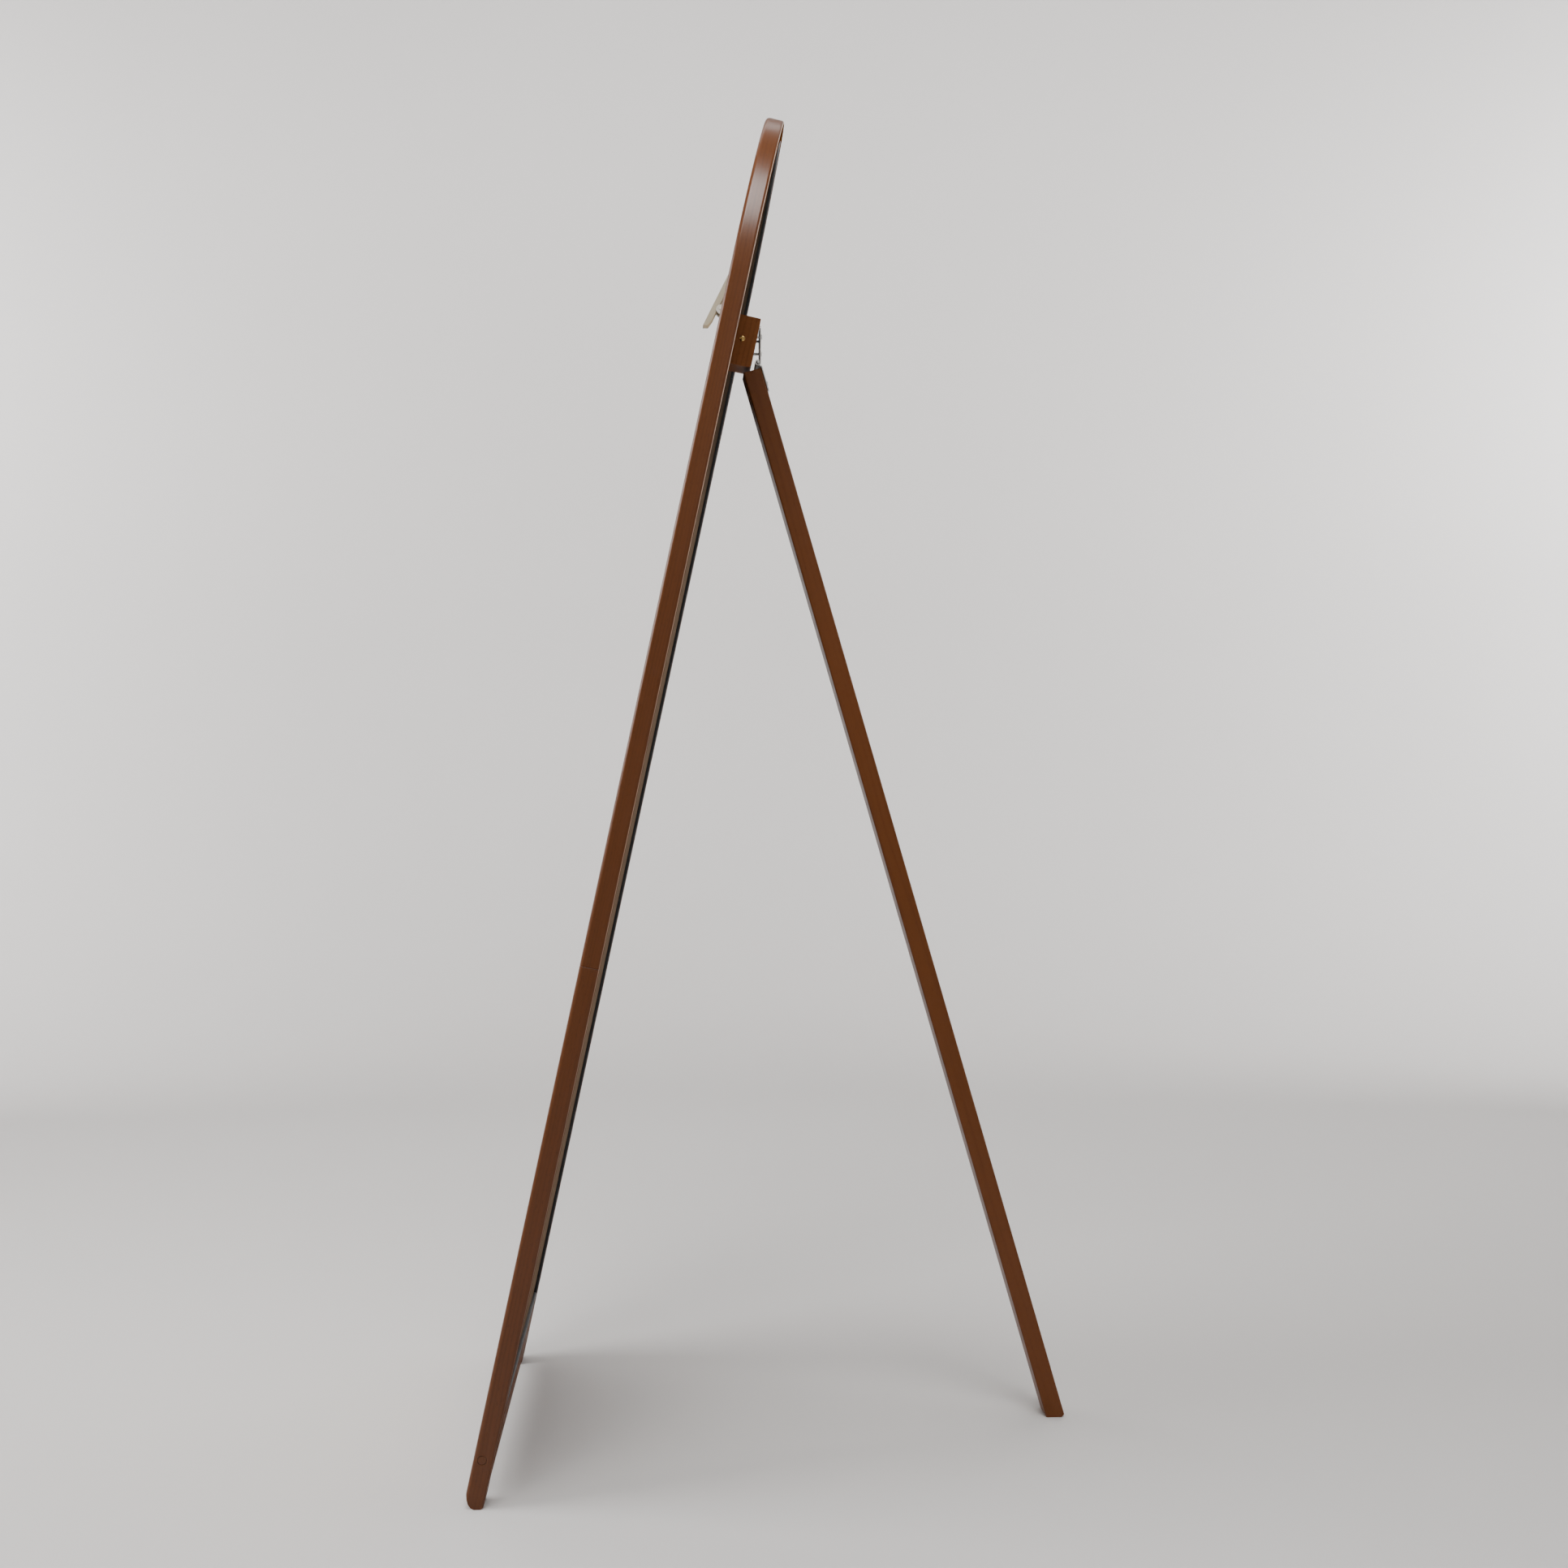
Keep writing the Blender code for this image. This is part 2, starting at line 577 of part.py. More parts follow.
def hinge_screw(name, parent, across, up, leaf, wood):
    """A pan-head screw through a leaf into the wood in front of it."""
    facing = Matrix.Translation((across, KNUCKLE_RADIUS + GAP, up)) @ Matrix.Rotation(-math.pi / 2, 4, "X")
    top = HINGE_HEAD_HEIGHT
    screw = turned(name, [
        (0, top), (0.6 * HINGE_SCREW_HEAD, 0.9 * top), (0.93 * HINGE_SCREW_HEAD, 0.5 * top),
        (HINGE_SCREW_HEAD, 0), (HINGE_SCREW_RADIUS, 0),
        (HINGE_SCREW_RADIUS, -HINGE_SCREW_LENGTH + 2 * HINGE_SCREW_RADIUS), (0, -HINGE_SCREW_LENGTH)])
    place(screw, parent, facing, STEEL)
    depth = HINGE_SCREW_LENGTH + GAP
    hole(name + "_hole", HINGE_SCREW_RADIUS + GAP, 2 * depth, parent, facing, leaf, wood)


def build_hinge(block, leg):
    half = HINGE_WIDTH / 2
    middle = KNUCKLE_MIDDLE / 2
    outer = ((-half, -middle - GAP), (middle + GAP, half))
    upper = build_leaf("hinge_upper_leaf", PIN_LINE, upper_leaf_reach(), outer, 1)
    lower = build_leaf("hinge_lower_leaf", LEG, LOWER_LEAF_LENGTH, ((-middle, middle),), -1)
    pin = rod("hinge_pin", PIN_RADIUS, HINGE_WIDTH + 2 * PIN_RADIUS)
    place(pin, PIN_LINE, ALONG_X, STEEL)
    spread = HINGE_SCREW_SPREAD
    near, far = UPPER_SCREW_ROWS
    for word, across, up in (("left", -spread, far), ("right", spread, far), ("middle", 0, near)):
        hinge_screw("upper_leaf_screw_" + word, PIN_LINE, across, up, upper, block)
    near, far = LOWER_SCREW_ROWS
    for word, across, down in (("left", -spread, far), ("right", spread, far), ("middle", 0, near)):
        hinge_screw("lower_leaf_screw_" + word, LEG, across, -down, lower, leg)


# ---------------------------------------------------------------- prop leg

def build_leg():
    """The prop leg, hung from the hinge pin and cut flat to the floor."""
    half, front = LEG_WIDTH / 2, LEG_BACK - LEG_THICKNESS
    outline = rounded_outline([
        (half, front, LEG_ROUND), (half, LEG_BACK, LEG_ROUND),
        (-half, LEG_BACK, LEG_ROUND), (-half, front, LEG_ROUND)], steps=2)
    bm = bmesh.new()
    reach = PIN_HEIGHT / math.cos(LEG_SPLAY) + LEG_THICKNESS
    stretch(bm, section_loop(bm, outline, -LEG_DROP), LEG_DROP - reach)
    rims = [edge for edge in bm.edges if edge.is_boundary]
    bmesh.ops.holes_fill(bm, edges=rims, sides=0)
    down = Vector((0, -math.sin(LEG_SPLAY), -math.cos(LEG_SPLAY)))
    slice_off(bm, down * PIN_HEIGHT, down)
    corner = Vector((0, LEG_BACK, -(PIN_HEIGHT + LEG_BACK * math.sin(LEG_SPLAY)) / math.cos(LEG_SPLAY)))
    forward = Vector((0, -math.cos(LEG_SPLAY), math.sin(LEG_SPLAY)))
    start = corner + forward * LEG_FOOT_CHAMFER
    slice_off(bm, start, (down - forward).normalized())
    return place(cap_and_finish(bm, "prop_leg"), LEG, material=STAINED_WOOD)


# ---------------------------------------------------------------- sprung peg

def jaw_depth(along):
    """Depth, square to the peg's front face, at which a point on it reaches the board."""
    rest = BOARD_FACE - GAP + PEG_STANDOFF
    return (rest - along * math.sin(PEG_TILT)) / math.cos(PEG_TILT)


def build_peg_lever():
    """The peg's lever: a handle cut level at its end, a boss round the pin and a jaw on the board."""
    length, thick = PEG_LENGTH, PEG_THICKNESS
    tip = JAW_TIP * length
    end = HANDLE_END_THICKNESS * thick
    outline = [
        (0, 0), (length, 0), (length, thick), (tip, jaw_depth(tip)), (JAW_FOOT * length, jaw_depth(tip)),
        (JAW_START * length, thick), (HANDLE_TAPER * length, thick), (end * math.tan(LEAN + PEG_TILT), end)]
    shifted = [(depth - PEG_PIVOT_IN, along - PEG_PIVOT_UP) for along, depth in outline]
    lever = place(outline_solid("peg_lever", shifted, PEG_WIDTH), PEG, FACING_SIDE, PALE_PEG)
    boss = place(rod("peg_boss", PEG_BOSS_RADIUS, PEG_WIDTH), PEG, ALONG_X, cutter=True)
    join(lever, boss)
    reach = 2 * PEG_BOSS_RADIUS
    slot = box("peg_slot", (-SPRING_SLOT / 2, -PEG_PIVOT_BEHIND, -reach), (SPRING_SLOT / 2, reach, reach))
    place(slot, PEG, cutter=True)
    cut(lever, slot)
    hole("peg_bore", PEG_PIN_RADIUS + PIN_CLEARANCE, 2 * PEG_WIDTH, PEG, ALONG_X, lever)
    return lever


def build_peg_bracket():
    """A steel channel: a plate on the board with an ear on each side of the peg."""
    half = PEG_WIDTH / 2 + GAP + BRACKET_THICKNESS
    face = BOARD_FACE - GAP - PEG_PIN_BACK
    low = -BRACKET_BELOW_PIVOT
    plate = box("peg_bracket", (-half, face - BRACKET_THICKNESS, low), (half, face, low + BRACKET_LENGTH))
    place(plate, PEG_PIN_LINE, material=STEEL)
    root = EAR_ROOT * EAR_RADIUS
    base = face - BRACKET_THICKNESS / 2
    ear_outline = arc((0, 0), EAR_RADIUS, 180, 360, 12)[::-1]
    ear_outline = [(y, x) for x, y in ear_outline] + [(base, -root), (base, root)]
    for side, word in ((-1, "left"), (1, "right")):
        middle = side * (half - BRACKET_THICKNESS / 2)
        ear = outline_solid("peg_ear_" + word, ear_outline, BRACKET_THICKNESS)
        place(ear, PEG_PIN_LINE, Matrix.Translation((middle, 0, 0)) @ FACING_SIDE, cutter=True)
        join(plate, ear)
    hole("bracket_bore", PEG_PIN_RADIUS + PIN_CLEARANCE, 3 * PEG_WIDTH, PEG_PIN_LINE, ALONG_X, plate)
    return plate


def build_peg_spring():
    """A torsion spring: turns round the pin, one leg behind the lever and one on the bracket."""
    slant = -PEG_TILT
    per_turn = 12
    half = SPRING_PITCH * (SPRING_TURNS + 0.5) / 2
    front = math.pi
    count = int(per_turn * (SPRING_TURNS + 0.5))
    turns = []
    for step in range(count + 1):
        angle = front + slant + 2 * math.pi * step / per_turn
        turns.append(Vector((-half + 2 * half * step / count,
                             SPRING_RADIUS * math.cos(angle), SPRING_RADIUS * math.sin(angle))))
    bracket_front = BOARD_FACE - GAP - BRACKET_THICKNESS - PEG_PIN_BACK
    lever_end = turns[0] + Vector((0, math.sin(PEG_TILT), math.cos(PEG_TILT))) * SPRING_LEG
    bracket_end = Vector((half, bracket_front - 2 * SPRING_WIRE, SPRING_LEG))
    curve = bpy.data.curves.new("peg_spring", "CURVE")
    curve.dimensions = "3D"
    curve.bevel_depth = SPRING_WIRE
    curve.bevel_resolution = 2
    curve.render_resolution_u = 0
    curve.use_fill_caps = True
    points = [lever_end] + turns + [bracket_end]
    spline = curve.splines.new("POLY")
    spline.points.add(len(points) - 1)
    for point, position in zip(spline.points, points):
        point.co = (*position, 1)
    place(bpy.data.objects.new("peg_spring", curve), PEG_PIN_LINE, material=STEEL)


def build_peg_screws(bracket, board):
    face = BOARD_FACE - GAP - BRACKET_THICKNESS - GAP - PEG_PIN_BACK
    top = 0.5 * PEG_SCREW_HEAD
    for word, up in zip(("lower", "upper"), PEG_SCREW_ROWS):
        facing = Matrix.Translation((0, face, up)) @ Matrix.Rotation(math.pi / 2, 4, "X")
        screw = turned("peg_screw_" + word, [
            (0, top), (0.6 * PEG_SCREW_HEAD, 0.9 * top), (PEG_SCREW_HEAD, 0), (PEG_SCREW_RADIUS, 0),
            (PEG_SCREW_RADIUS, -PEG_SCREW_LENGTH + PEG_SCREW_RADIUS), (0, -PEG_SCREW_LENGTH)])
        place(screw, PEG_PIN_LINE, facing, STEEL)
        depth = PEG_SCREW_LENGTH + GAP
        hole("peg_screw_hole_" + word, PEG_SCREW_RADIUS + GAP, 2 * depth, PEG_PIN_LINE, facing,
             bracket, board)


def build_peg(board):
    build_peg_lever()
    bracket = build_peg_bracket()
    pin = rod("peg_pin", PEG_PIN_RADIUS, PEG_WIDTH + 4 * BRACKET_THICKNESS, sides=16)
    place(pin, PEG_PIN_LINE, ALONG_X, STEEL)
    build_peg_spring()
    build_peg_screws(bracket, board)


# ---------------------------------------------------------------- assembly

def centre_over_floor():
    """Slide the easel so that the middle of its footprint is at the origin."""
    bpy.context.view_layer.update()
    graph = bpy.context.evaluated_depsgraph_get()
    depths = []
    for obj in PARTS.objects:
        if obj.type in {"MESH", "CURVE"}:
            evaluated = obj.evaluated_get(graph)
            mesh = evaluated.to_mesh()
            depths += [(obj.matrix_world @ vert.co).y for vert in mesh.vertices]
            evaluated.to_mesh_clear()
    EASEL.location.y = -(min(depths) + max(depths)) / 2
    bpy.context.view_layer.update()


clear_scene()
PARTS = new_collection("wooden_easel")
CUTTERS = new_collection("cutters")

STAINED_WOOD = new_material("stained_wood", (0.115, 0.042, 0.016), 0.42)
RAW_BEECH = new_material("raw_beech", (0.52, 0.36, 0.20), 0.65)
BIRCH_PLY = new_material("birch_ply", (0.62, 0.47, 0.30), 0.55)
HARDBOARD = new_material("hardboard", (0.18, 0.12, 0.07), 0.75)
BLACK_STAIN = new_material("black_stain", (0.010, 0.009, 0.008), 0.60)
STEEL = new_material("plated_steel", (0.55, 0.54, 0.52), 0.32, 1.0)
BRASS = new_material("brass", (0.78, 0.52, 0.20), 0.30, 1.0)
PALE_PEG = new_material("pale_wood", (0.42, 0.37, 0.24), 0.55)

EASEL = new_empty("easel")
FRAME = new_empty("frame_plane", EASEL, tilt=-LEAN)
PIN_DEPTH = PIN_UP * math.sin(LEAN) + PIN_BACK * math.cos(LEAN)
PIN_HEIGHT = PIN_UP * math.cos(LEAN) - PIN_BACK * math.sin(LEAN)
PIN_LINE = new_empty("hinge_line", EASEL, (0, PIN_DEPTH, PIN_HEIGHT))
LEG = new_empty("leg_line", EASEL, (0, PIN_DEPTH, PIN_HEIGHT), LEG_SPLAY)
PEG_PIN_UP = (PEG_HANDLE_FOOT + PEG_PIVOT_UP * math.cos(PEG_TILT) - PEG_PIVOT_IN * math.sin(PEG_TILT))
PEG_PIN_BACK = -PEG_STANDOFF + PEG_PIVOT_UP * math.sin(PEG_TILT) + PEG_PIVOT_IN * math.cos(PEG_TILT)
PEG_PIN_LINE = new_empty("peg_line", FRAME, (0, PEG_PIN_BACK, PEG_PIN_UP))
PEG = new_empty("peg_lever_line", FRAME, (0, PEG_PIN_BACK, PEG_PIN_UP), -PEG_TILT)

build_frame()
DRAWING_BOARD, BACK_BOARD = build_boards()
build_beads()
HINGE_BLOCK = build_hinge_block(BACK_BOARD)
PROP_LEG = build_leg()
build_hinge(HINGE_BLOCK, PROP_LEG)
build_peg(DRAWING_BOARD)
centre_over_floor()
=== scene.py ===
"""Round-topped wooden easel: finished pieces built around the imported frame, and a studio stage.

Every piece is made in one of three leaning planes and then placed in the row frame:
the frame's own plane (across, back, up along the front face), the prop leg's plane, whose origin is
the hinge pin, and the peg's plane, whose origin is the peg's pin.
"""

import json
import math

import bmesh
import bpy
from bmesh.types import BMEdge, BMFace, BMVert
from bpy.props import FloatProperty, FloatVectorProperty, IntProperty, PointerProperty
from mathutils import Matrix, Vector


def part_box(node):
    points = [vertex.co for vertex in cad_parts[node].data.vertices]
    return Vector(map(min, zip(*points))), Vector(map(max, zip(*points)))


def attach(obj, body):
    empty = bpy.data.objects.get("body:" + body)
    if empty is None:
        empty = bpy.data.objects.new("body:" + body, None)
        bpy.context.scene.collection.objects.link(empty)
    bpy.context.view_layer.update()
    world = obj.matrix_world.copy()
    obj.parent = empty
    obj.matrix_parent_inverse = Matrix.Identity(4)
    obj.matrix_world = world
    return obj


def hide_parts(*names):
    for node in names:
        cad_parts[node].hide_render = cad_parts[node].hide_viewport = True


bl_info = {
    "name": "Round-topped easel",
    "version": (1, 0, 0),
    "blender": (4, 5, 0),
    "location": "3D View > Sidebar > Easel",
    "description": "Builds the finished pieces of a round-topped wooden easel and its stage",
    "category": "Add Mesh",
}

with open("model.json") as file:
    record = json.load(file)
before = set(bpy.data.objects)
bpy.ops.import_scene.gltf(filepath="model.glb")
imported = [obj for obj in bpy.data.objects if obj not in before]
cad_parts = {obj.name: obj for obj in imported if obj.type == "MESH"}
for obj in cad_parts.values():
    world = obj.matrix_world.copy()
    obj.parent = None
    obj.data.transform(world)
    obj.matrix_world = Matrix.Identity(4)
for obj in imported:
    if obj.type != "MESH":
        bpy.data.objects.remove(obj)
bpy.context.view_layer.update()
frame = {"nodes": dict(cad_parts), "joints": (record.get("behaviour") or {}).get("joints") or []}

# ---------------------------------------------------------------- planes and sizes from the frame

LEAN = math.radians(12.1)
LEG_SPLAY = math.radians(16.24)
PEG_TILT = math.radians(14.2)


def joint_place(name):
    """Where a joint of the frame turns, in the row frame."""
    found = [joint for joint in frame["joints"] if joint["name"] == name]
    return Vector(found[0]["pos_m"])


def plane_box(node, plane):
    """Lowest and highest corner of a CAD node, measured in a leaning plane."""
    back = plane.inverted()
    points = [back @ vert.co for vert in frame["nodes"][node].data.vertices]
    low = Vector(min(point[axis] for point in points) for axis in range(3))
    high = Vector(max(point[axis] for point in points) for axis in range(3))
    return low, high


def frame_plane():
    """The plane whose origin is on the floor, at the middle of the frame's front face."""
    upright = Matrix.Rotation(-LEAN, 4, "X")
    front = plane_box("arched_head", upright)[0].y
    return Matrix.Translation((0, front / math.cos(LEAN), 0)) @ upright


FRAME_PLANE = frame_plane()
PIN = joint_place("leg_fold")
PEG_PIN = joint_place("peg_squeeze")
PIN_PLANE = Matrix.Translation(PIN)
LEG_PLANE = PIN_PLANE @ Matrix.Rotation(LEG_SPLAY, 4, "X")
PEG_BASE_PLANE = Matrix.Translation(PEG_PIN) @ Matrix.Rotation(-LEAN, 4, "X")
PEG_PLANE = PEG_BASE_PLANE @ Matrix.Rotation(-PEG_TILT, 4, "X")
FACING_BACK = Matrix.Rotation(-math.pi / 2, 4, "X")
FACING_FRONT = Matrix.Rotation(math.pi / 2, 4, "X")
FACING_RIGHT = Matrix.Rotation(math.pi / 2, 4, "Y")

HEAD = plane_box("arched_head", FRAME_PLANE)
STILE = plane_box("right_stile", FRAME_PLANE)
RAIL = plane_box("bottom_rail", FRAME_PLANE)
BACK_PANEL = plane_box("back_board", FRAME_PLANE)
OUTER = HEAD[1].x
DEPTH = HEAD[1].y
INNER = STILE[0].x
SPRING_LINE = HEAD[1].z - OUTER
GAP = 0.0003
LIP = 0.008
REBATE = BACK_PANEL[1].x + GAP
REBATE_FOOT = BACK_PANEL[0].z - GAP
REBATE_ROUND = 0.0005
PLUG_HOLE_DEPTH = 0.004

# Lines that relieve the feet: how far behind the foot's front corner, and how far over the floor.
TOE = ((0.0136, 0.0), (0.0097, 0.0021), (0.0066, 0.0064), (0.0048, 0.0120), (0.0041, 0.0190))
HEEL = ((0.0220, 0.0), (0.0247, 0.0028), (0.0262, 0.0078))

# Paler back arris, partly stain thinned by use and partly a painted highlight: share of the back rounding,
# depth from the back, and height where it begins.
WORN_HIGHLIGHT_SHARE = 0.8
WORN_HIGHLIGHT_DEPTH = 0.0007
WORN_HIGHLIGHT_ABOVE = 0.15

# Hinge: the cut under the tongues, the plate's corners, and how far the tongues roll.
LEAF_NOTCH = 0.005
LEAF_CORNER = 0.004
LEAF_CURL = math.radians(298)
MIDDLE_KNUCKLE = 0.007
HINGE_PIN_DOME = 0.0011

# Screw heads, as shares of their radius, and the recess's floor, as a share of their height.
HEAD_HEIGHT = 0.56
CROSS_REACH = 0.62
SLOT_REACH = 1.2
RECESS_FLOOR = 0.42

PEG_THICKNESS = 0.008
PEG_SHEET = 0.0015
PEG_PIN_HOLE = 0.0016
PEG_PIN_EASE = 0.0004

# Tolerances for finding edges and merging points, and the angle over which an edge stays sharp.
CLOSE = 0.0001
TOUCH = 0.00002
SAME_POINT = 0.000002
SHARP = math.radians(32)

SIDES = ((-1, "left"), (1, "right"))


# ---------------------------------------------------------------- settings

def length(name, description, default):
    return FloatProperty(name=name, description=description, default=default, min=0.0, unit="LENGTH")


def colour(name, description, default):
    return FloatVectorProperty(name=name, description=description, default=default, size=3,
                               min=0.0, max=1.0, subtype="COLOR")


def share(name, description, default):
    return FloatProperty(name=name, description=description, default=default, min=0.0, max=1.0,
                         subtype="FACTOR")


def power(name, description, default):
    return FloatProperty(name=name, description=description, default=default, min=0.0, unit="POWER")


class EaselShape(bpy.types.PropertyGroup):
    """Roundings and fineness of the finished pieces."""

    front_round: length("Front rounding", "Radius of the frame's front arrises", 0.005)
    back_round: length("Back rounding", "Radius of the frame's back arrises", 0.0035)
    end_chamfer: length("End chamfer", "Softening where two members meet", 0.00035)
    leg_round: length("Leg rounding", "Radius of the prop leg's arrises", 0.002)
    leg_foot_chamfer: length("Leg foot chamfer", "Chamfer at the leg's rear foot", 0.005)
    block_round: length("Block rounding", "Radius under the hinge block's back", 0.005)
    leaf_thickness: length("Leaf thickness", "Thickness of the hinge leaves", 0.0015)
    peg_round: length("Peg rounding", "Radius of the peg's arrises", 0.0004)
    arch_steps: IntProperty(name="Arch steps", description="Steps round the half circle", default=96,
                            min=16, max=256)


class EaselFinish(bpy.types.PropertyGroup):
    """Colours of the finishes."""

    stain_light: colour("Stain, light", "Early wood under the stain", (0.090, 0.0285, 0.0078))
    stain_dark: colour("Stain, dark", "Late wood and pores under the stain", (0.030, 0.0085, 0.0022))
    leg_light: colour("Leg, light", "Early wood of the prop leg", (0.118, 0.0375, 0.0100))
    leg_dark: colour("Leg, dark", "Late wood of the prop leg", (0.040, 0.0115, 0.0030))
    block_light: colour("Block, light", "Early wood of the hinge block", (0.200, 0.070, 0.0230))
    block_dark: colour("Block, dark", "Late wood of the hinge block", (0.075, 0.0235, 0.0075))
    # Paler back arris: partly stain thinned by use, partly a painted highlight.
    stain_worn_highlight: colour("Stain, worn", "Wood where the arrises have rubbed", (0.50, 0.31, 0.19))
    beech_light: colour("Beech, light", "Unstained beech", (0.60, 0.43, 0.27))
    beech_dark: colour("Beech, dark", "Rings and pores of unstained beech", (0.40, 0.25, 0.13))
    board_light: colour("Board, light", "Face of the birch drawing board", (0.68, 0.53, 0.36))
    board_dark: colour("Board, dark", "Figure of the birch drawing board", (0.52, 0.37, 0.22))
    hardboard: colour("Hardboard", "Back board", (0.13, 0.092, 0.063))
    bead: colour("Bead", "Black stain of the beads", (0.006, 0.005, 0.0045))
    peg_light: colour("Peg, light", "Pale wood of the peg", (0.25, 0.225, 0.17))
    peg_dark: colour("Peg, dark", "Grain of the peg", (0.18, 0.16, 0.115))
    steel: colour("Steel", "Plated steel", (0.36, 0.34, 0.30))
    brass: colour("Brass", "Brass side screw", (0.62, 0.40, 0.14))
    gloss: share("Varnish roughness", "Roughness of the varnished wood", 0.36)


class EaselStage(bpy.types.PropertyGroup):
    """Camera, lights and the round studio floor."""

    lens: FloatProperty(name="Lens", description="Focal length in millimetres", default=40.5, min=10.0)
    camera_place: FloatVectorProperty(name="Camera place", description="Where the camera stands",
                                      default=(2.3878, -0.1403, 0.860), subtype="XYZ", unit="LENGTH")
    camera_turn: FloatProperty(name="Camera turn", description="Turn of the camera about the vertical",
                               default=math.radians(86.465), subtype="ANGLE", unit="ROTATION")
    backdrop: colour("Backdrop", "Floor and wall", (0.50, 0.485, 0.475))
    floor_radius: length("Floor radius", "Flat part of the floor", 3.6)
    cove_radius: length("Cove radius", "Curve from the floor to the wall", 1.6)
    wall_height: length("Wall height", "Top of the wall", 5.0)
    left_power: power("Left light", "Power of the left softbox", 135.0)
    right_power: power("Right light", "Power of the right softbox", 22.0)
    top_power: power("Top light", "Power of the overhead softbox", 100.0)
    wall_power: power("Wall light", "Power of the light over the far wall", 110.0)
    glow_power: power("Side glows", "Power of each light on the far wall's sides", 240.0)
    front_power: power("Camera-side light", "Power of the light by the camera", 6.0)
    sky: FloatProperty(name="Ambient light", description="Strength of the even light", default=0.18, min=0.0)


# ---------------------------------------------------------------- shader sums

class Wire:
    """One output of a shader node. Sums on wires add Math nodes, and node() adds any other node."""

    def __init__(self, tree, socket=None):
        self.tree = tree
        self.socket = socket

    def node(self, kind, settings=None, inputs=None, output=0):
        """Add a node: first its settings, then the values or wires of its sockets."""
        made = self.tree.nodes.new(kind)
        for key, value in (settings or {}).items():
            setattr(made, key, value)
        for key, value in (inputs or {}).items():
            if isinstance(value, Wire):
                self.tree.links.new(value.socket, made.inputs[key])
            else:
                made.inputs[key].default_value = value
        return Wire(self.tree, made.outputs[output] if made.outputs else None)

    def maths(self, operation, first, second=0.0):
        return self.node("ShaderNodeMath", {"operation": operation}, {0: first, 1: second})

    def __add__(self, other):
        return self.maths("ADD", self, other)

    def __sub__(self, other):
        return self.maths("SUBTRACT", self, other)

    def __rsub__(self, other):
        return self.maths("SUBTRACT", other, self)

    def __mul__(self, other):
        return self.maths("MULTIPLY", self, other)

    def __pow__(self, other):
        return self.maths("POWER", self, other)

    __radd__ = __add__
    __rmul__ = __mul__

    def sine(self):
        return self.maths("SINE", self)

    def between(self, low, high):
        """0 below low, 1 above high, and a soft step between them."""
        return self.node("ShaderNodeMapRange", {"interpolation_type": "SMOOTHSTEP"},
                         {"Value": self, "From Min": low, "From Max": high})

    def stretched(self, scale):
        """A vector with each of its parts multiplied."""
        return self.node("ShaderNodeMapping", {"vector_type": "POINT"}, {"Vector": self, "Scale": scale})

    def noise(self, scale, detail=2.0, roughness=0.5):
        """Noise read at a vector."""
        return self.node("ShaderNodeTexNoise", {"noise_dimensions": "3D"},
                         {"Vector": self, "Scale": scale, "Detail": detail, "Roughness": roughness})

    def bumped(self, strength, distance):
        """A normal raised by this height."""
        return self.node("ShaderNodeBump",
                         inputs={"Strength": strength, "Distance": distance, "Height": self})

    def tint(self, first, second):
        """A colour between two others, with this wire as the share of the second."""
        return self.node("ShaderNodeMix", {"data_type": "RGBA"},
                         {0: self, 6: opaque(first), 7: opaque(second)}, output=2)


def opaque(tone):
    return tone if isinstance(tone, Wire) else (*tone[:3], 1.0)


def new_material(name):
    """A material with a Principled shader. Returns it, a wire to start from, and the shader node."""
    material = bpy.data.materials.new(name)
    material.use_nodes = True
    shader = material.node_tree.nodes["Principled BSDF"]
    return material, Wire(material.node_tree), shader


def plug_in(shader, **wires):
    """Join wires to a shader's inputs, whose names are given with underscores."""
    for name, wire in wires.items():
        wire.tree.links.new(wire.socket, shader.inputs[name.replace("_", " ")])


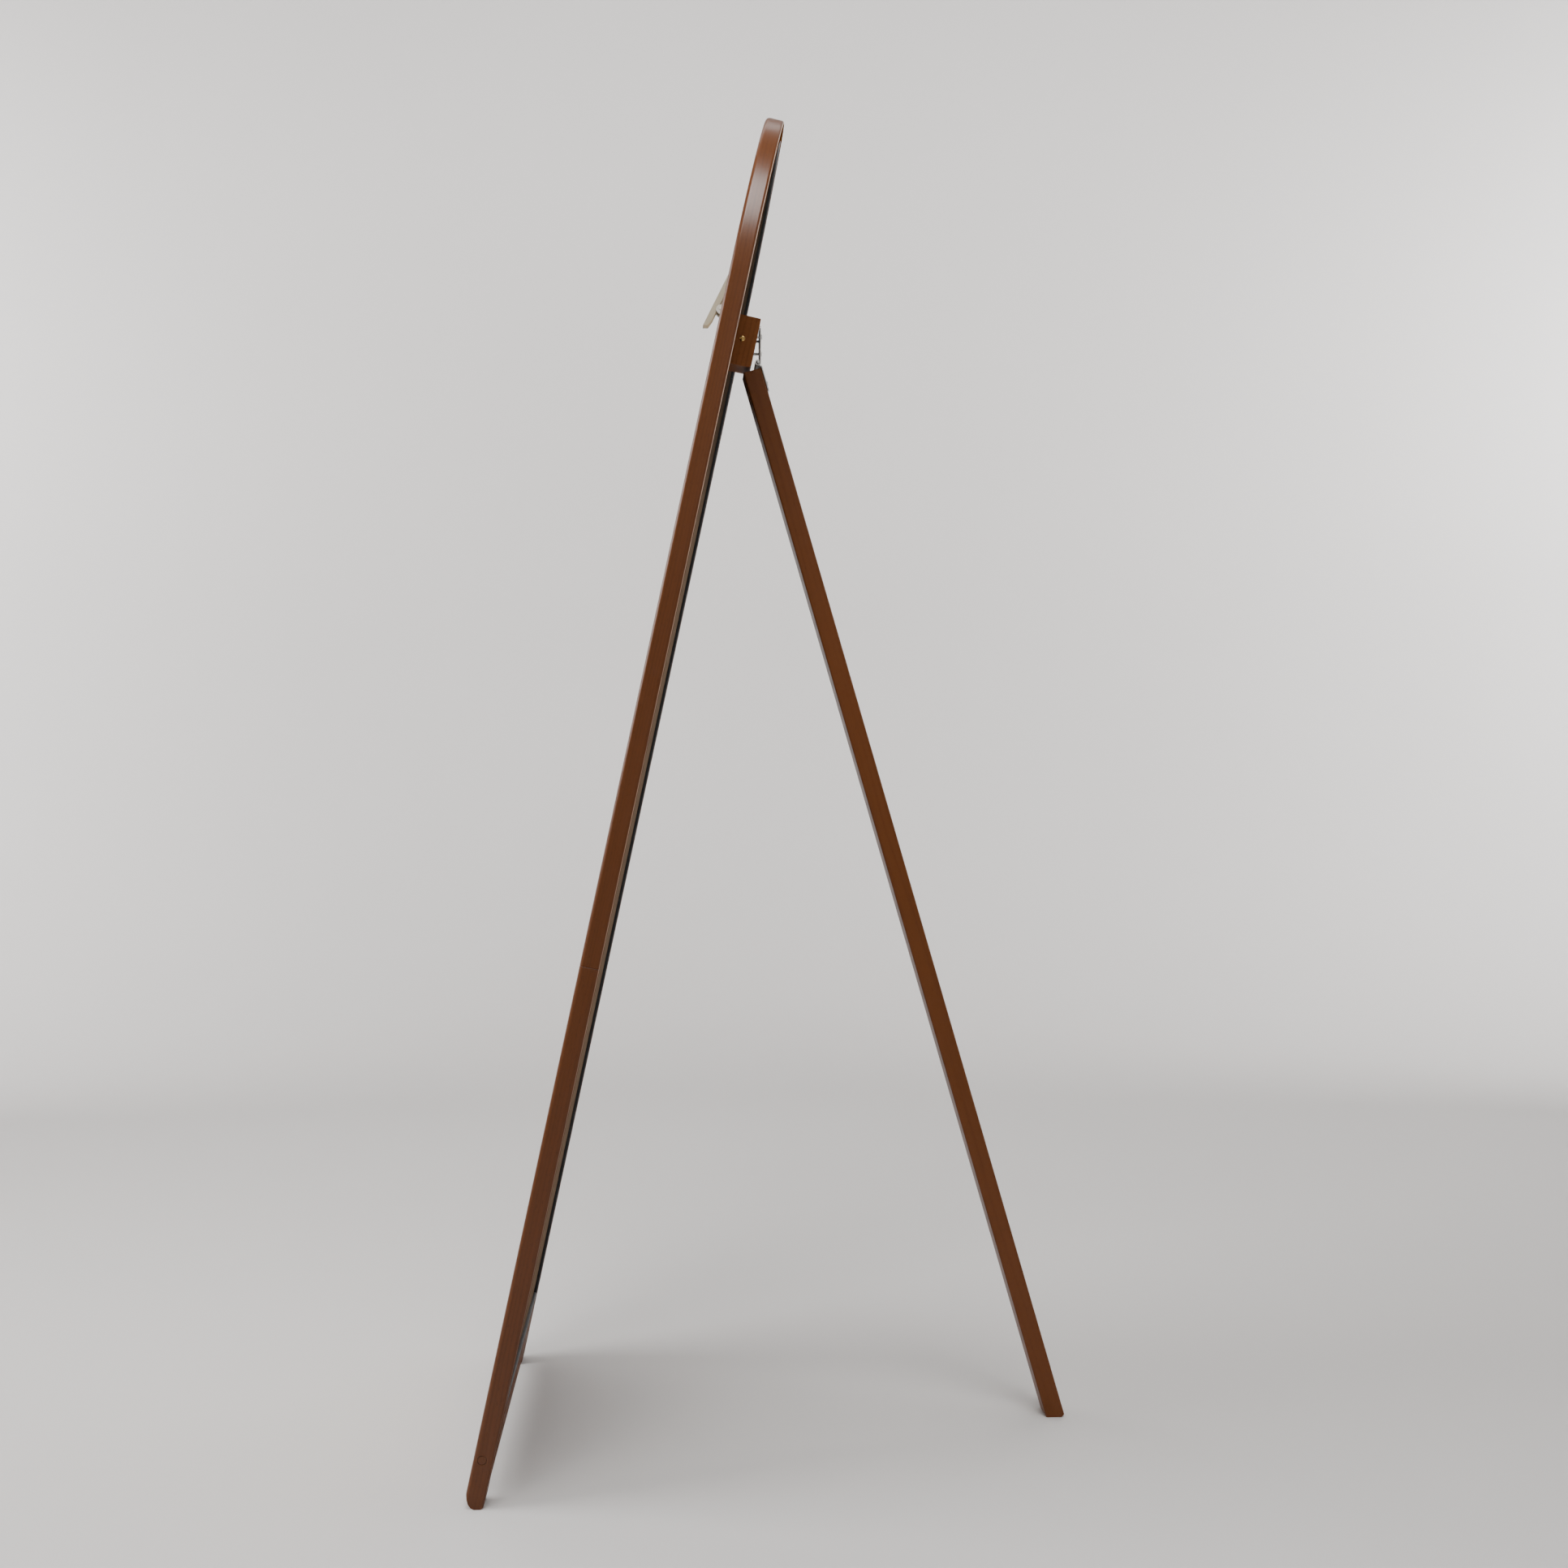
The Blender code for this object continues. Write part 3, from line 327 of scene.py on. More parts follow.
def wood(name, light, dark, roughness, worn=None, pith=(0.05, -0.04), ring_gap=0.0035, rings=0.35,
         streaks=0.5, flecks=0.35, coat=0.0, shine=0.5):
    """Wood whose grain follows the piece's "grain" attribute: across, deep and along, in metres."""
    material, start, shader = new_material(name)
    grain = start.node("ShaderNodeAttribute", {"attribute_name": "grain"}, output="Vector")
    across = grain.node("ShaderNodeSeparateXYZ", inputs={0: grain}, output="X") - pith[0]
    deep = grain.node("ShaderNodeSeparateXYZ", inputs={0: grain}, output="Y") - pith[1]
    # Rings round the pith, bent a little along the grain.
    warp = grain.stretched((14.0, 14.0, 1.6)).noise(1.0, 3.0) - 0.5
    reach = (across * across + deep * deep) ** 0.5 + warp * (6.5 * ring_gap)
    late = ((reach * (2 * math.pi / ring_gap)).sine() * 0.5 + 0.5) ** 2.2
    # Long streaks, broad clouds of stain, fibres and pores.
    streak = grain.stretched((150.0, 150.0, 2.2)).noise(1.0, 5.0, 0.62)
    cloud = grain.stretched((9.0, 9.0, 2.6)).noise(1.0, 3.0)
    fibre = grain.stretched((1500.0, 1500.0, 26.0)).noise(1.0, 2.0)
    fleck = grain.stretched((1100.0, 1100.0, 150.0)).noise(1.0, 1.0).between(0.62, 0.74)
    depth_of_tone = late * rings + (streak - 0.35) * streaks + (cloud - 0.5) * 0.55 + (fibre - 0.5) * 0.25
    tone = depth_of_tone.between(0.0, 0.95).tint(light, dark)
    tone = (fleck * flecks).tint(tone, dark)
    # Paler back arris, partly stain thinned by use and partly a painted highlight, paler higher up.
    if worn:
        wear_and_highlight = start.node("ShaderNodeAttribute", {"attribute_name": "wear_and_highlight"}, output="Fac")
        rubbed_and_lit = wear_and_highlight * grain.stretched((40.0, 40.0, 7.0)).noise(1.0, 4.0, 0.7).between(0.22, 0.60)
        tone = rubbed_and_lit.tint(tone, worn)
    height = fibre * 0.5 - fleck * 0.7 + late * 0.15
    sheen = (cloud - 0.5) * 0.18 + fleck * 0.15 + (fibre - 0.5) * 0.08 + roughness
    plug_in(shader, Base_Color=tone, Roughness=sheen, Normal=height.bumped(0.22, 0.0004))
    if coat:
        lacquer = start.node("ShaderNodeAttribute", {"attribute_name": "lacquer"}, output="Fac")
        plug_in(shader, Coat_Weight=lacquer * coat)
    shader.inputs["Coat Roughness"].default_value = 0.30
    shader.inputs["Coat IOR"].default_value = 1.36
    shader.inputs["Specular IOR Level"].default_value = shine
    return material


def metal(name, tone, roughness):
    """Metal with fine scratches, cloudy plating and a few dull spots."""
    material, start, shader = new_material(name)
    place = start.node("ShaderNodeTexCoord", output="Object")
    cloud = place.noise(260.0, 3.0)
    scratch = place.stretched((5200.0, 700.0, 700.0)).noise(1.0, 2.0)
    spot = place.noise(900.0, 2.0).between(0.60, 0.72)
    dull = [part * 0.45 for part in tone]
    body = ((cloud - 0.4) * 0.8 + spot * 0.5).between(0.0, 1.0).tint(tone, dull)
    plug_in(shader, Base_Color=body, Roughness=(cloud - 0.5) * 0.3 + spot * 0.25 + roughness,
            Normal=scratch.bumped(0.12, 0.0001))
    shader.inputs["Metallic"].default_value = 1.0
    return material


def pressed_board(name, tone):
    """Hardboard: matted fibres with darker crumbs, and painted shade towards the top."""
    material, start, shader = new_material(name)
    place = start.node("ShaderNodeTexCoord", output="Object")
    mat = place.noise(70.0, 6.0, 0.7)
    crumb = place.noise(900.0, 3.0, 0.6)
    thread = place.stretched((500.0, 500.0, 90.0)).noise(1.0, 4.0, 0.6)
    dark = [part * 0.55 for part in tone]
    pale = [min(1.0, part * 1.45) for part in tone]
    body = ((mat - 0.5) * 0.7 + (thread - 0.5) * 0.9 + 0.5).between(0.0, 1.0).tint(pale, tone)
    body = crumb.between(0.60, 0.75).tint(body, dark)
    # Painted shade: darker from below the hinge block upwards, where the top of the board lies in shade.
    high = place.node("ShaderNodeSeparateXYZ", inputs={0: place}, output="Z").between(1.14, 1.44)
    body = high.tint(body, [part * 0.35 for part in tone])
    height = crumb * 0.5 + thread * 0.5
    plug_in(shader, Base_Color=body, Roughness=(mat - 0.5) * 0.2 + 0.72,
            Normal=height.bumped(0.35, 0.0003))
    shader.inputs["Specular IOR Level"].default_value = 0.0
    return material


def studio_surface(name, tone):
    """Matt seamless floor and wall with faint unevenness."""
    material, start, shader = new_material(name)
    place = start.node("ShaderNodeTexCoord", output="Object")
    cloud = place.noise(0.8, 3.0)
    plug_in(shader, Base_Color=cloud.between(0.2, 0.8).tint(tone, [part * 0.975 for part in tone]))
    shader.inputs["Roughness"].default_value = 0.85
    return material


def finishes(context):
    """Make each finish once, and find it again by name afterwards."""
    look = context.scene.easel_finish
    # The stained finishes carry the paler back arris: part abrasion, part painted highlight.
    stain = {"worn": tuple(look.stain_worn_highlight), "coat": 0.9, "shine": 0.0}
    makers = {
        "stained_frame": lambda: wood("stained_frame", look.stain_light, look.stain_dark, look.gloss,
                                      pith=(0.36, -0.09), rings=0.16, streaks=0.4, **stain),
        "stained_leg": lambda: wood("stained_leg", look.leg_light, look.leg_dark, look.gloss + 0.04,
                                    pith=(0.12, -0.05), ring_gap=0.0045, rings=0.16, streaks=0.35,
                                    **stain),
        "stained_block": lambda: wood("stained_block", look.block_light, look.block_dark,
                                      look.gloss + 0.24, pith=(0.02, -0.01), ring_gap=0.0036, rings=0.28,
                                      streaks=0.3, **stain),
        "raw_beech": lambda: wood("raw_beech", look.beech_light, look.beech_dark, 0.62,
                                  pith=(0.001, 0.002), ring_gap=0.0016, rings=0.5),
        "birch_face": lambda: wood("birch_face", look.board_light, look.board_dark, 0.50,
                                   pith=(0.3, 0.14), ring_gap=0.030, rings=0.25, streaks=0.45,
                                   flecks=0.18),
        "pale_peg": lambda: wood("pale_peg", look.peg_light, look.peg_dark, 0.55, pith=(0.02, -0.02),
                                 ring_gap=0.0014, rings=0.45),
        "black_bead": lambda: wood("black_bead", look.bead, [part * 0.4 for part in look.bead], 0.55,
                                   rings=0.2),
        "hardboard_back": lambda: pressed_board("hardboard_back", look.hardboard),
        "plated_steel": lambda: metal("plated_steel", look.steel, 0.34),
        "side_brass": lambda: metal("side_brass", look.brass, 0.28),
    }
    return lambda name: bpy.data.materials.get(name) or makers[name]()


# ---------------------------------------------------------------- mesh helpers

def edge_loop(bm, points):
    """A closed loop of edges through a few points."""
    verts = [bm.verts.new(point) for point in points]
    return [bm.edges.new((a, b)) for a, b in zip(verts, verts[1:] + verts[:1])]


def face_of(bm, points):
    return bm.faces.new([bm.verts.new(point) for point in points])


def only(kind, items):
    """The items of one kind, such as the edges that an operator made."""
    return [item for item in items if isinstance(item, kind)]


def stretch_edges(bm, edges, move):
    """Extrude edges and return the new ones."""
    made = bmesh.ops.extrude_edge_only(bm, edges=edges)["geom"]
    bmesh.ops.translate(bm, verts=only(BMVert, made), vec=move)
    return only(BMEdge, made)


def push_out(bm, faces, move):
    """Extrude faces and return the new ones."""
    made = bmesh.ops.extrude_face_region(bm, geom=faces)["geom"]
    bmesh.ops.translate(bm, verts=only(BMVert, made), vec=move)
    return only(BMFace, made)


def turn_edges(bm, edges, centre, axis, angle, steps):
    """Spin edges about an axis and return the last ones."""
    verts = list(dict.fromkeys(vert for edge in edges for vert in edge.verts))
    last = bmesh.ops.spin(bm, geom=verts + edges, cent=centre, axis=axis, angle=angle, steps=steps)
    return only(BMEdge, last["geom_last"])


def fill_ends(bm):
    rims = [edge for edge in bm.edges if edge.is_boundary]
    bmesh.ops.holes_fill(bm, edges=rims, sides=0)


def slice_off(bm, point, outward, close=True):
    """Cut away what lies beyond a plane, and close the cut of a solid."""
    geometry = bm.verts[:] + bm.edges[:] + bm.faces[:]
    bmesh.ops.bisect_plane(bm, geom=geometry, plane_co=point, plane_no=outward, clear_outer=True)
    if close:
        fill_ends(bm)


def soften(bm, edges, width, segments):
    """Round edges with a bevel."""
    bmesh.ops.bevel(bm, geom=edges, offset=width, segments=segments, profile=0.5, affect="EDGES",
                    clamp_overlap=True, material=-1)


def sharp_edges(bm, test=lambda co: True):
    """Sharp edges, or those whose two ends both pass a test."""
    return [edge for edge in bm.edges
            if edge.is_manifold and edge.calc_face_angle(0.0) > math.radians(20)
            and test(edge.verts[0].co) and test(edge.verts[1].co)]


def near(value, target):
    return abs(value - target) < TOUCH


def new_bar(low, high):
    """A bmesh with one box between two corners."""
    bm = bmesh.new()
    size = Vector(high) - Vector(low)
    middle = (Vector(high) + Vector(low)) / 2
    bmesh.ops.create_cube(bm, size=1.0, matrix=Matrix.Translation(middle) @ Matrix.Diagonal((*size, 1)))
    return bm


def new_rod(radius, low, high, sides=48, chamfer=0.0):
    """A bmesh with one cylinder along Z, its rims softened."""
    bm = bmesh.new()
    bmesh.ops.create_cone(bm, cap_ends=True, segments=sides, radius1=radius, radius2=radius,
                          depth=high - low, matrix=Matrix.Translation((0, 0, (low + high) / 2)))
    if chamfer:
        soften(bm, sharp_edges(bm), chamfer, 2)
    return bm


def placed(bm, matrix):
    bmesh.ops.transform(bm, matrix=matrix, verts=bm.verts)
    return bm


def as_object(bm, name):
    """Write a bmesh to an object at the origin, its faces outwards and its smooth parts smooth."""
    bmesh.ops.remove_doubles(bm, verts=bm.verts, dist=SAME_POINT)
    bmesh.ops.recalc_face_normals(bm, faces=bm.faces)
    mesh = bpy.data.meshes.new(name)
    bm.to_mesh(mesh)
    bm.free()
    mesh.shade_smooth()
    mesh.set_sharp_from_angle(angle=SHARP)
    obj = bpy.data.objects.new(name, mesh)
    bpy.context.scene.collection.objects.link(obj)
    return obj


def carve(obj, *steps):
    """Cut or join other shapes, given as (operation, bmesh), and keep the result as the mesh."""
    tools = []
    for index, (operation, bm) in enumerate(steps):
        tool = as_object(bm, obj.name + "_tool_" + str(index))
        boolean = obj.modifiers.new("carve", "BOOLEAN")
        boolean.operation = operation
        boolean.solver = "EXACT"
        boolean.object = tool
        tools.append(tool)
    bpy.context.view_layer.update()
    evaluated = obj.evaluated_get(bpy.context.evaluated_depsgraph_get())
    mesh = bpy.data.meshes.new_from_object(evaluated)
    obj.modifiers.clear()
    plain = obj.data
    obj.data = mesh
    mesh.name = plain.name + "_carved"
    bpy.data.meshes.remove(plain)
    for tool in tools:
        bpy.data.objects.remove(tool, do_unlink=True)
    mesh.set_sharp_from_angle(angle=SHARP)
    return obj


def paint(obj, name, kind, values):
    """Store one value per vertex."""
    attribute = obj.data.attributes.new(name, kind, "POINT")
    flat = [part for value in values for part in value] if kind == "FLOAT_VECTOR" else values
    attribute.data.foreach_set("vector" if kind == "FLOAT_VECTOR" else "value", flat)


def grain_from(obj, to_grain, offset=(0, 0, 0)):
    """Store where each vertex lies in the wood it was cut from."""
    shift = Vector(offset)
    paint(obj, "grain", "FLOAT_VECTOR", [tuple(to_grain(vert.co) + shift) for vert in obj.data.vertices])


def along_z(plane):
    """Grain that runs along a plane's third axis."""
    back = plane.inverted()
    return lambda point: back @ point


def along_x(plane):
    """Grain that runs along a plane's first axis."""
    back = plane.inverted()
    return lambda point: (back @ point).yzx


def round_the_bend(point):
    """Grain that follows the bent head, from the right foot over the top to the left foot."""
    place = FRAME_PLANE.inverted() @ point
    if place.z > SPRING_LINE:
        across = math.hypot(place.x, place.z - SPRING_LINE)
        along = SPRING_LINE + OUTER * math.atan2(place.z - SPRING_LINE, place.x)
        return Vector((across, place.y, along))
    if place.x > 0:
        return Vector((place.x, place.y, place.z))
    return Vector((-place.x, place.y, 2 * SPRING_LINE + math.pi * OUTER - place.z))


def adopt(obj, body, finish, name, *nodes):
    """Give a piece its finish and its body, and hide the CAD nodes that it stands for."""
    obj.data.materials.clear()
    obj.data.materials.append(finish(name))
    even = obj.modifiers.new("even_shading", "WEIGHTED_NORMAL")
    even.keep_sharp = True
    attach(obj, body)
    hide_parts(*nodes)


# ---------------------------------------------------------------- frame wood

def round_long_arrises(bm, shape):
    """Round the arrises that run along a frame member: full at the front, small at the back."""
    def at(u, w):
        return lambda co: near(abs(co.x), u) and near(co.y, w)
    fronts = sharp_edges(bm, at(OUTER, 0)) + sharp_edges(bm, at(INNER, 0))
    soften(bm, fronts, shape.front_round, 8)
    backs = sharp_edges(bm, at(OUTER, DEPTH)) + sharp_edges(bm, at(INNER, DEPTH))
    soften(bm, backs, shape.back_round, 6)
    soften(bm, sharp_edges(bm, at(REBATE, DEPTH)), REBATE_ROUND, 2)


def paint_plain(obj, lacquer=1.0):
    """Mark a stained piece with no pale arris, neither abrasion nor painted highlight, and the same lacquer
    all over.
    """
    paint(obj, "wear_and_highlight", "FLOAT", [0.0] * len(obj.data.vertices))
    paint(obj, "lacquer", "FLOAT", [lacquer] * len(obj.data.vertices))


def paint_frame_wear_and_highlight(obj, shape, to_grain):
    """Mark the back arris of a frame member, where the stain has thinned with use and a painted highlight is
    laid on, paler higher up.
    """
    def wear_and_highlight(point):
        place = to_grain(point)
        out = OUTER - abs(place.x)
        back = DEPTH - place.y
        if out > WORN_HIGHLIGHT_SHARE * shape.back_round or back > WORN_HIGHLIGHT_DEPTH:
            return 0.0
        # Painted highlight as well as abrasion: the mark grows paler with height above the floor.
        return min(1.0, max(0.0, (FRAME_PLANE.inverted() @ point).z - WORN_HIGHLIGHT_ABOVE))

    def lacquer(point):
        return 0.0 if abs(to_grain(point).y - DEPTH) < CLOSE else 1.0
    paint(obj, "wear_and_highlight", "FLOAT", [wear_and_highlight(vert.co) for vert in obj.data.vertices])
    paint(obj, "lacquer", "FLOAT", [lacquer(vert.co) for vert in obj.data.vertices])


def make_bent_head(shape, finish):
    """The bent head: upper stiles and half-round arch in one, rebated at the back."""
    bm = bmesh.new()
    foot = HEAD[0].z
    loop = edge_loop(bm, [(OUTER, 0, foot), (OUTER, DEPTH, foot), (REBATE, DEPTH, foot),
                          (REBATE, LIP, foot), (INNER, LIP, foot), (INNER, 0, foot)])
    loop = stretch_edges(bm, loop, (0, 0, SPRING_LINE - foot))
    loop = turn_edges(bm, loop, (0, 0, SPRING_LINE), (0, -1, 0), math.pi, shape.arch_steps)
    stretch_edges(bm, loop, (0, 0, foot - SPRING_LINE))
    fill_ends(bm)
    rounded = {"fronts": [], "backs": [], "rebates": []}
    for edge in bm.edges:
        ends = [vert.co for vert in edge.verts]
        radii = [abs(co.x) if co.z <= SPRING_LINE + 0.00001 else math.hypot(co.x, co.z - SPRING_LINE)
                 for co in ends]
        if near(*radii) and near(ends[0].y, ends[1].y) and ends[0].z + ends[1].z > 2 * foot + 0.001:
            if near(ends[0].y, 0):
                rounded["fronts"].append(edge)
            elif near(ends[0].y, DEPTH):
                rounded["backs" if near(radii[0], OUTER) else "rebates"].append(edge)
    soften(bm, rounded["fronts"], shape.front_round, 8)
    soften(bm, [edge for edge in rounded["backs"] if edge.is_valid], shape.back_round, 6)
    soften(bm, [edge for edge in rounded["rebates"] if edge.is_valid], REBATE_ROUND, 2)
    soften(bm, sharp_edges(bm, lambda co: near(co.z, foot)), shape.end_chamfer, 1)
    head = as_object(placed(bm, FRAME_PLANE), "bent_head")
    grain_from(head, round_the_bend)
    paint_frame_wear_and_highlight(head, shape, round_the_bend)
    adopt(head, "frame", finish, "stained_frame", "arched_head")


def over_floor(depth, height):
    """A point measured level and plumb from the front of the foot, in the frame's plane."""
    return Vector((0, depth * math.cos(LEAN) - height * math.sin(LEAN),
                   depth * math.sin(LEAN) + height * math.cos(LEAN)))


def make_lower_stile(side, word, shape, finish):
    """A lower stile: plain at the foot, rebated above the rail, its toe and heel relieved."""
    bm = bmesh.new()
    start = -DEPTH
    corner = {key: bm.verts.new((side * u, w, start)) for key, (u, w) in {
        "outer_front": (OUTER, 0), "outer_back": (OUTER, DEPTH), "rebate_back": (REBATE, DEPTH),
        "rebate_deep": (REBATE, LIP), "inner_deep": (INNER, LIP), "inner_front": (INNER, 0),
        "inner_back": (INNER, DEPTH)}.items()}
    body = bm.faces.new([corner[key] for key in (
        "outer_front", "outer_back", "rebate_back", "rebate_deep", "inner_deep", "inner_front")])
    behind = bm.faces.new([corner[key] for key in (
        "rebate_back", "inner_back", "inner_deep", "rebate_deep")])
    raised = push_out(bm, [body, behind], (0, 0, REBATE_FOOT - start))
    upper = [face for face in raised if len(face.verts) == 6]
    push_out(bm, upper, (0, 0, STILE[1].z - REBATE_FOOT))
    round_long_arrises(bm, shape)
    slice_off(bm, (0, 0, 0), Vector((0, math.sin(LEAN), -math.cos(LEAN))))
    for outline, forwards in ((TOE, 1), (HEEL, -1)):
        points = [over_floor(*point) for point in outline]
        for low, high in zip(points, points[1:]):
            rise = high - low
            slice_off(bm, low, forwards * Vector((0, -rise.z, rise.y)))
    top = STILE[1].z
    soften(bm, sharp_edges(bm, lambda co: near(co.z, top)), shape.end_chamfer, 1)
    stile = as_object(placed(bm, FRAME_PLANE), word + "_lower_stile")
    plug = plane_box("rail_plug_" + word, FRAME_PLANE)
    middle = (plug[0] + plug[1]) / 2
    hole = new_rod((plug[1].z - plug[0].z) / 2 + GAP, -PLUG_HOLE_DEPTH, PLUG_HOLE_DEPTH)
    seat = Matrix.Translation((side * OUTER, middle.y, middle.z)) @ FACING_RIGHT
    carve(stile, ("DIFFERENCE", placed(hole, FRAME_PLANE @ seat)))
    grain_from(stile, along_z(FRAME_PLANE), (0.013 if side > 0 else 0.6, 0.0, 3.1 + side))
    paint_frame_wear_and_highlight(stile, shape, along_z(FRAME_PLANE))
    adopt(stile, "frame", finish, "stained_frame", word + "_stile")


def make_bottom_rail(shape, finish):
    """The bottom rail between the stiles, rebated along its top."""
    bm = bmesh.new()
    half = RAIL[1].x
    section = face_of(bm, [(-half, 0, RAIL[0].z), (-half, DEPTH, RAIL[0].z), (-half, DEPTH, REBATE_FOOT),
                           (-half, LIP, REBATE_FOOT), (-half, LIP, RAIL[1].z), (-half, 0, RAIL[1].z)])
    push_out(bm, [section], (2 * half, 0, 0))
    soften(bm, sharp_edges(bm, lambda co: near(co.y, 0) and near(co.z, RAIL[1].z)), shape.front_round, 8)
    soften(bm, sharp_edges(bm, lambda co: near(co.z, RAIL[0].z)), shape.back_round, 6)
    soften(bm, sharp_edges(bm, lambda co: near(co.y, DEPTH) and near(co.z, REBATE_FOOT)), REBATE_ROUND, 2)
    rail = as_object(placed(bm, FRAME_PLANE), "foot_rail")
    grain_from(rail, along_x(FRAME_PLANE), (0.07, 0.22, 5.0))
    paint_plain(rail, 0.3)
    adopt(rail, "frame", finish, "stained_frame", "bottom_rail")


def make_rail_plug(side, word, finish):
    """A stained plug over the rail screw, flush with the stile."""
    low, high = plane_box("rail_plug_" + word, FRAME_PLANE)
    middle = (low + high) / 2
    plug = new_rod((high.z - low.z) / 2, low.x - middle.x, high.x - middle.x, chamfer=0.0004)
    plug = as_object(placed(plug, FRAME_PLANE @ Matrix.Translation(middle) @ FACING_RIGHT), word + "_plug")
    grain_from(plug, along_x(FRAME_PLANE @ Matrix.Translation(middle)), (0.004, 0.003, side))
    paint_plain(plug)
    adopt(plug, "frame", finish, "stained_frame", "rail_plug_" + word)


# ---------------------------------------------------------------- boards and beads

def arched_sheet(half, foot, face, steps):
    """One round-topped face at a depth in the frame's plane."""
    bm = bmesh.new()
    sill = bm.edges.new([bm.verts.new((side * half, face, foot)) for side in (-1, 1)])
    stretch_edges(bm, [sill], (0, 0, SPRING_LINE - foot))
    bm.verts.ensure_lookup_table()
    start = [vert for vert in bm.verts if near(vert.co.z, SPRING_LINE) and vert.co.x > 0]
    bmesh.ops.spin(bm, geom=start, cent=(0, 0, SPRING_LINE), axis=(0, -1, 0), angle=math.pi, steps=steps)
    bmesh.ops.remove_doubles(bm, verts=bm.verts, dist=0.00001)
    # The half circle above the straight part is filled, and the two faces are made one.
    loose = [edge for edge in bm.edges if edge.is_wire]
    closing = [edge for edge in bm.edges if edge.is_boundary
               and all(near(vert.co.z, SPRING_LINE) for vert in edge.verts)]
    bmesh.ops.contextual_create(bm, geom=loose + closing)
    bmesh.ops.dissolve_edges(bm, edges=[edge for edge in closing if edge.is_valid], use_verts=False)
    return bm


def make_board(node, name, finish_name, shape, finish):
    """A round-topped board with softened edges."""
    low, high = plane_box(node, FRAME_PLANE)
    bm = arched_sheet(high.x, low.z, low.y, shape.arch_steps)
    push_out(bm, bm.faces[:], (0, high.y - low.y, 0))
    edge_chamfer = 0.0003
    soften(bm, sharp_edges(bm), edge_chamfer, 1)
    board = as_object(placed(bm, FRAME_PLANE), name)
    grain_from(board, along_z(FRAME_PLANE))
    adopt(board, "frame", finish, finish_name, node)


def make_beads(shape, finish):
    """Black beads round the back board: one bent, three straight, each rounded on its inner back."""
    low, high = plane_box("arch_bead", FRAME_PLANE)
    width = plane_box("left_bead", FRAME_PLANE)
    width = width[1].x - width[0].x
    outer, inner = high.x, high.x - width
    round_over = 0.0018
    bm = bmesh.new()
    loop = edge_loop(bm, [(outer, low.y, SPRING_LINE), (outer, high.y, SPRING_LINE),
                          (inner, high.y, SPRING_LINE), (inner, low.y, SPRING_LINE)])
    turn_edges(bm, loop, (0, 0, SPRING_LINE), (0, -1, 0), math.pi, shape.arch_steps)
    fill_ends(bm)
    arris = [edge for edge in bm.edges if all(
        near(vert.co.y, high.y) and abs(math.hypot(vert.co.x, vert.co.z - SPRING_LINE) - inner) < CLOSE
        for vert in edge.verts)]
    soften(bm, arris, round_over, 4)
    pieces = {"arch_bead": as_object(placed(bm, FRAME_PLANE), "bent_bead")}
    for node, name in (("left_bead", "left_straight_bead"), ("right_bead", "right_straight_bead"),
                       ("foot_bead", "foot_straight_bead")):
        low, high = plane_box(node, FRAME_PLANE)
        bm = new_bar(low, high)
        level = node == "foot_bead"
        inside = high.z if level else min(abs(low.x), abs(high.x))

        def inner_back(co):
            return near(co.y, high.y) and near(co.z if level else abs(co.x), inside)
        soften(bm, sharp_edges(bm, inner_back), round_over, 4)
        pieces[node] = as_object(placed(bm, FRAME_PLANE), name)
    for node, piece in pieces.items():
        follow = along_x(FRAME_PLANE) if node == "foot_bead" else round_the_bend
        grain_from(piece, follow)
        adopt(piece, "frame", finish, "black_bead", node)


# ---------------------------------------------------------------- block and leg

def make_hinge_block(shape, finish):
    """The block on the back board, rounded under its back."""
    low, high = plane_box("hinge_block", FRAME_PLANE)
    bm = new_bar(low, high)
    soften(bm, sharp_edges(bm, lambda co: near(co.y, high.y) and near(co.z, low.z)), shape.block_round, 8)
    edge_round = 0.0007
    soften(bm, sharp_edges(bm, lambda co: co.y > low.y + 0.001), edge_round, 3)
    block = as_object(placed(bm, FRAME_PLANE), "hinge_block_wood")
    grain_from(block, along_z(FRAME_PLANE), (0.31, 0.17, 2.2))
    paint_plain(block, 0.2)
    adopt(block, "frame", finish, "stained_block", "hinge_block")


def make_prop_leg(shape, finish):
    """The prop leg, cut flat to the floor with its rear corner taken off."""
    low, high = plane_box("prop_leg", LEG_PLANE)
    spare, end_round = 0.05, 0.0005
    bm = placed(new_bar((low.x, low.y, low.z - spare), high), LEG_PLANE)
    slice_off(bm, (0, 0, 0), (0, 0, -1))
    heel = PIN.y + (high.y + PIN.z * math.sin(LEG_SPLAY)) / math.cos(LEG_SPLAY)
    slice_off(bm, (0, heel - shape.leg_foot_chamfer, 0), Vector((0, 1, -1)).normalized())
    back = LEG_PLANE.inverted()

    def corner(co):
        place = back @ co
        return near(abs(place.x), high.x) and (near(place.y, high.y) or near(place.y, low.y))
    long_edges = [edge for edge in sharp_edges(bm, corner)
                  if (edge.verts[0].co - edge.verts[1].co).length > 0.1]
    soften(bm, long_edges, shape.leg_round, 5)
    ends = sharp_edges(bm, lambda co: co.z < 0.02 or (back @ co).z > high.z - CLOSE)
    soften(bm, ends, end_round, 2)
    leg = as_object(bm, "prop_leg_wood")
    grain_from(leg, along_z(LEG_PLANE), (0.0, 0.0, 1.0))
    paint_plain(leg, 0.7)
    adopt(leg, "prop_leg", finish, "stained_leg", "prop_leg")


# ---------------------------------------------------------------- hinge and screws

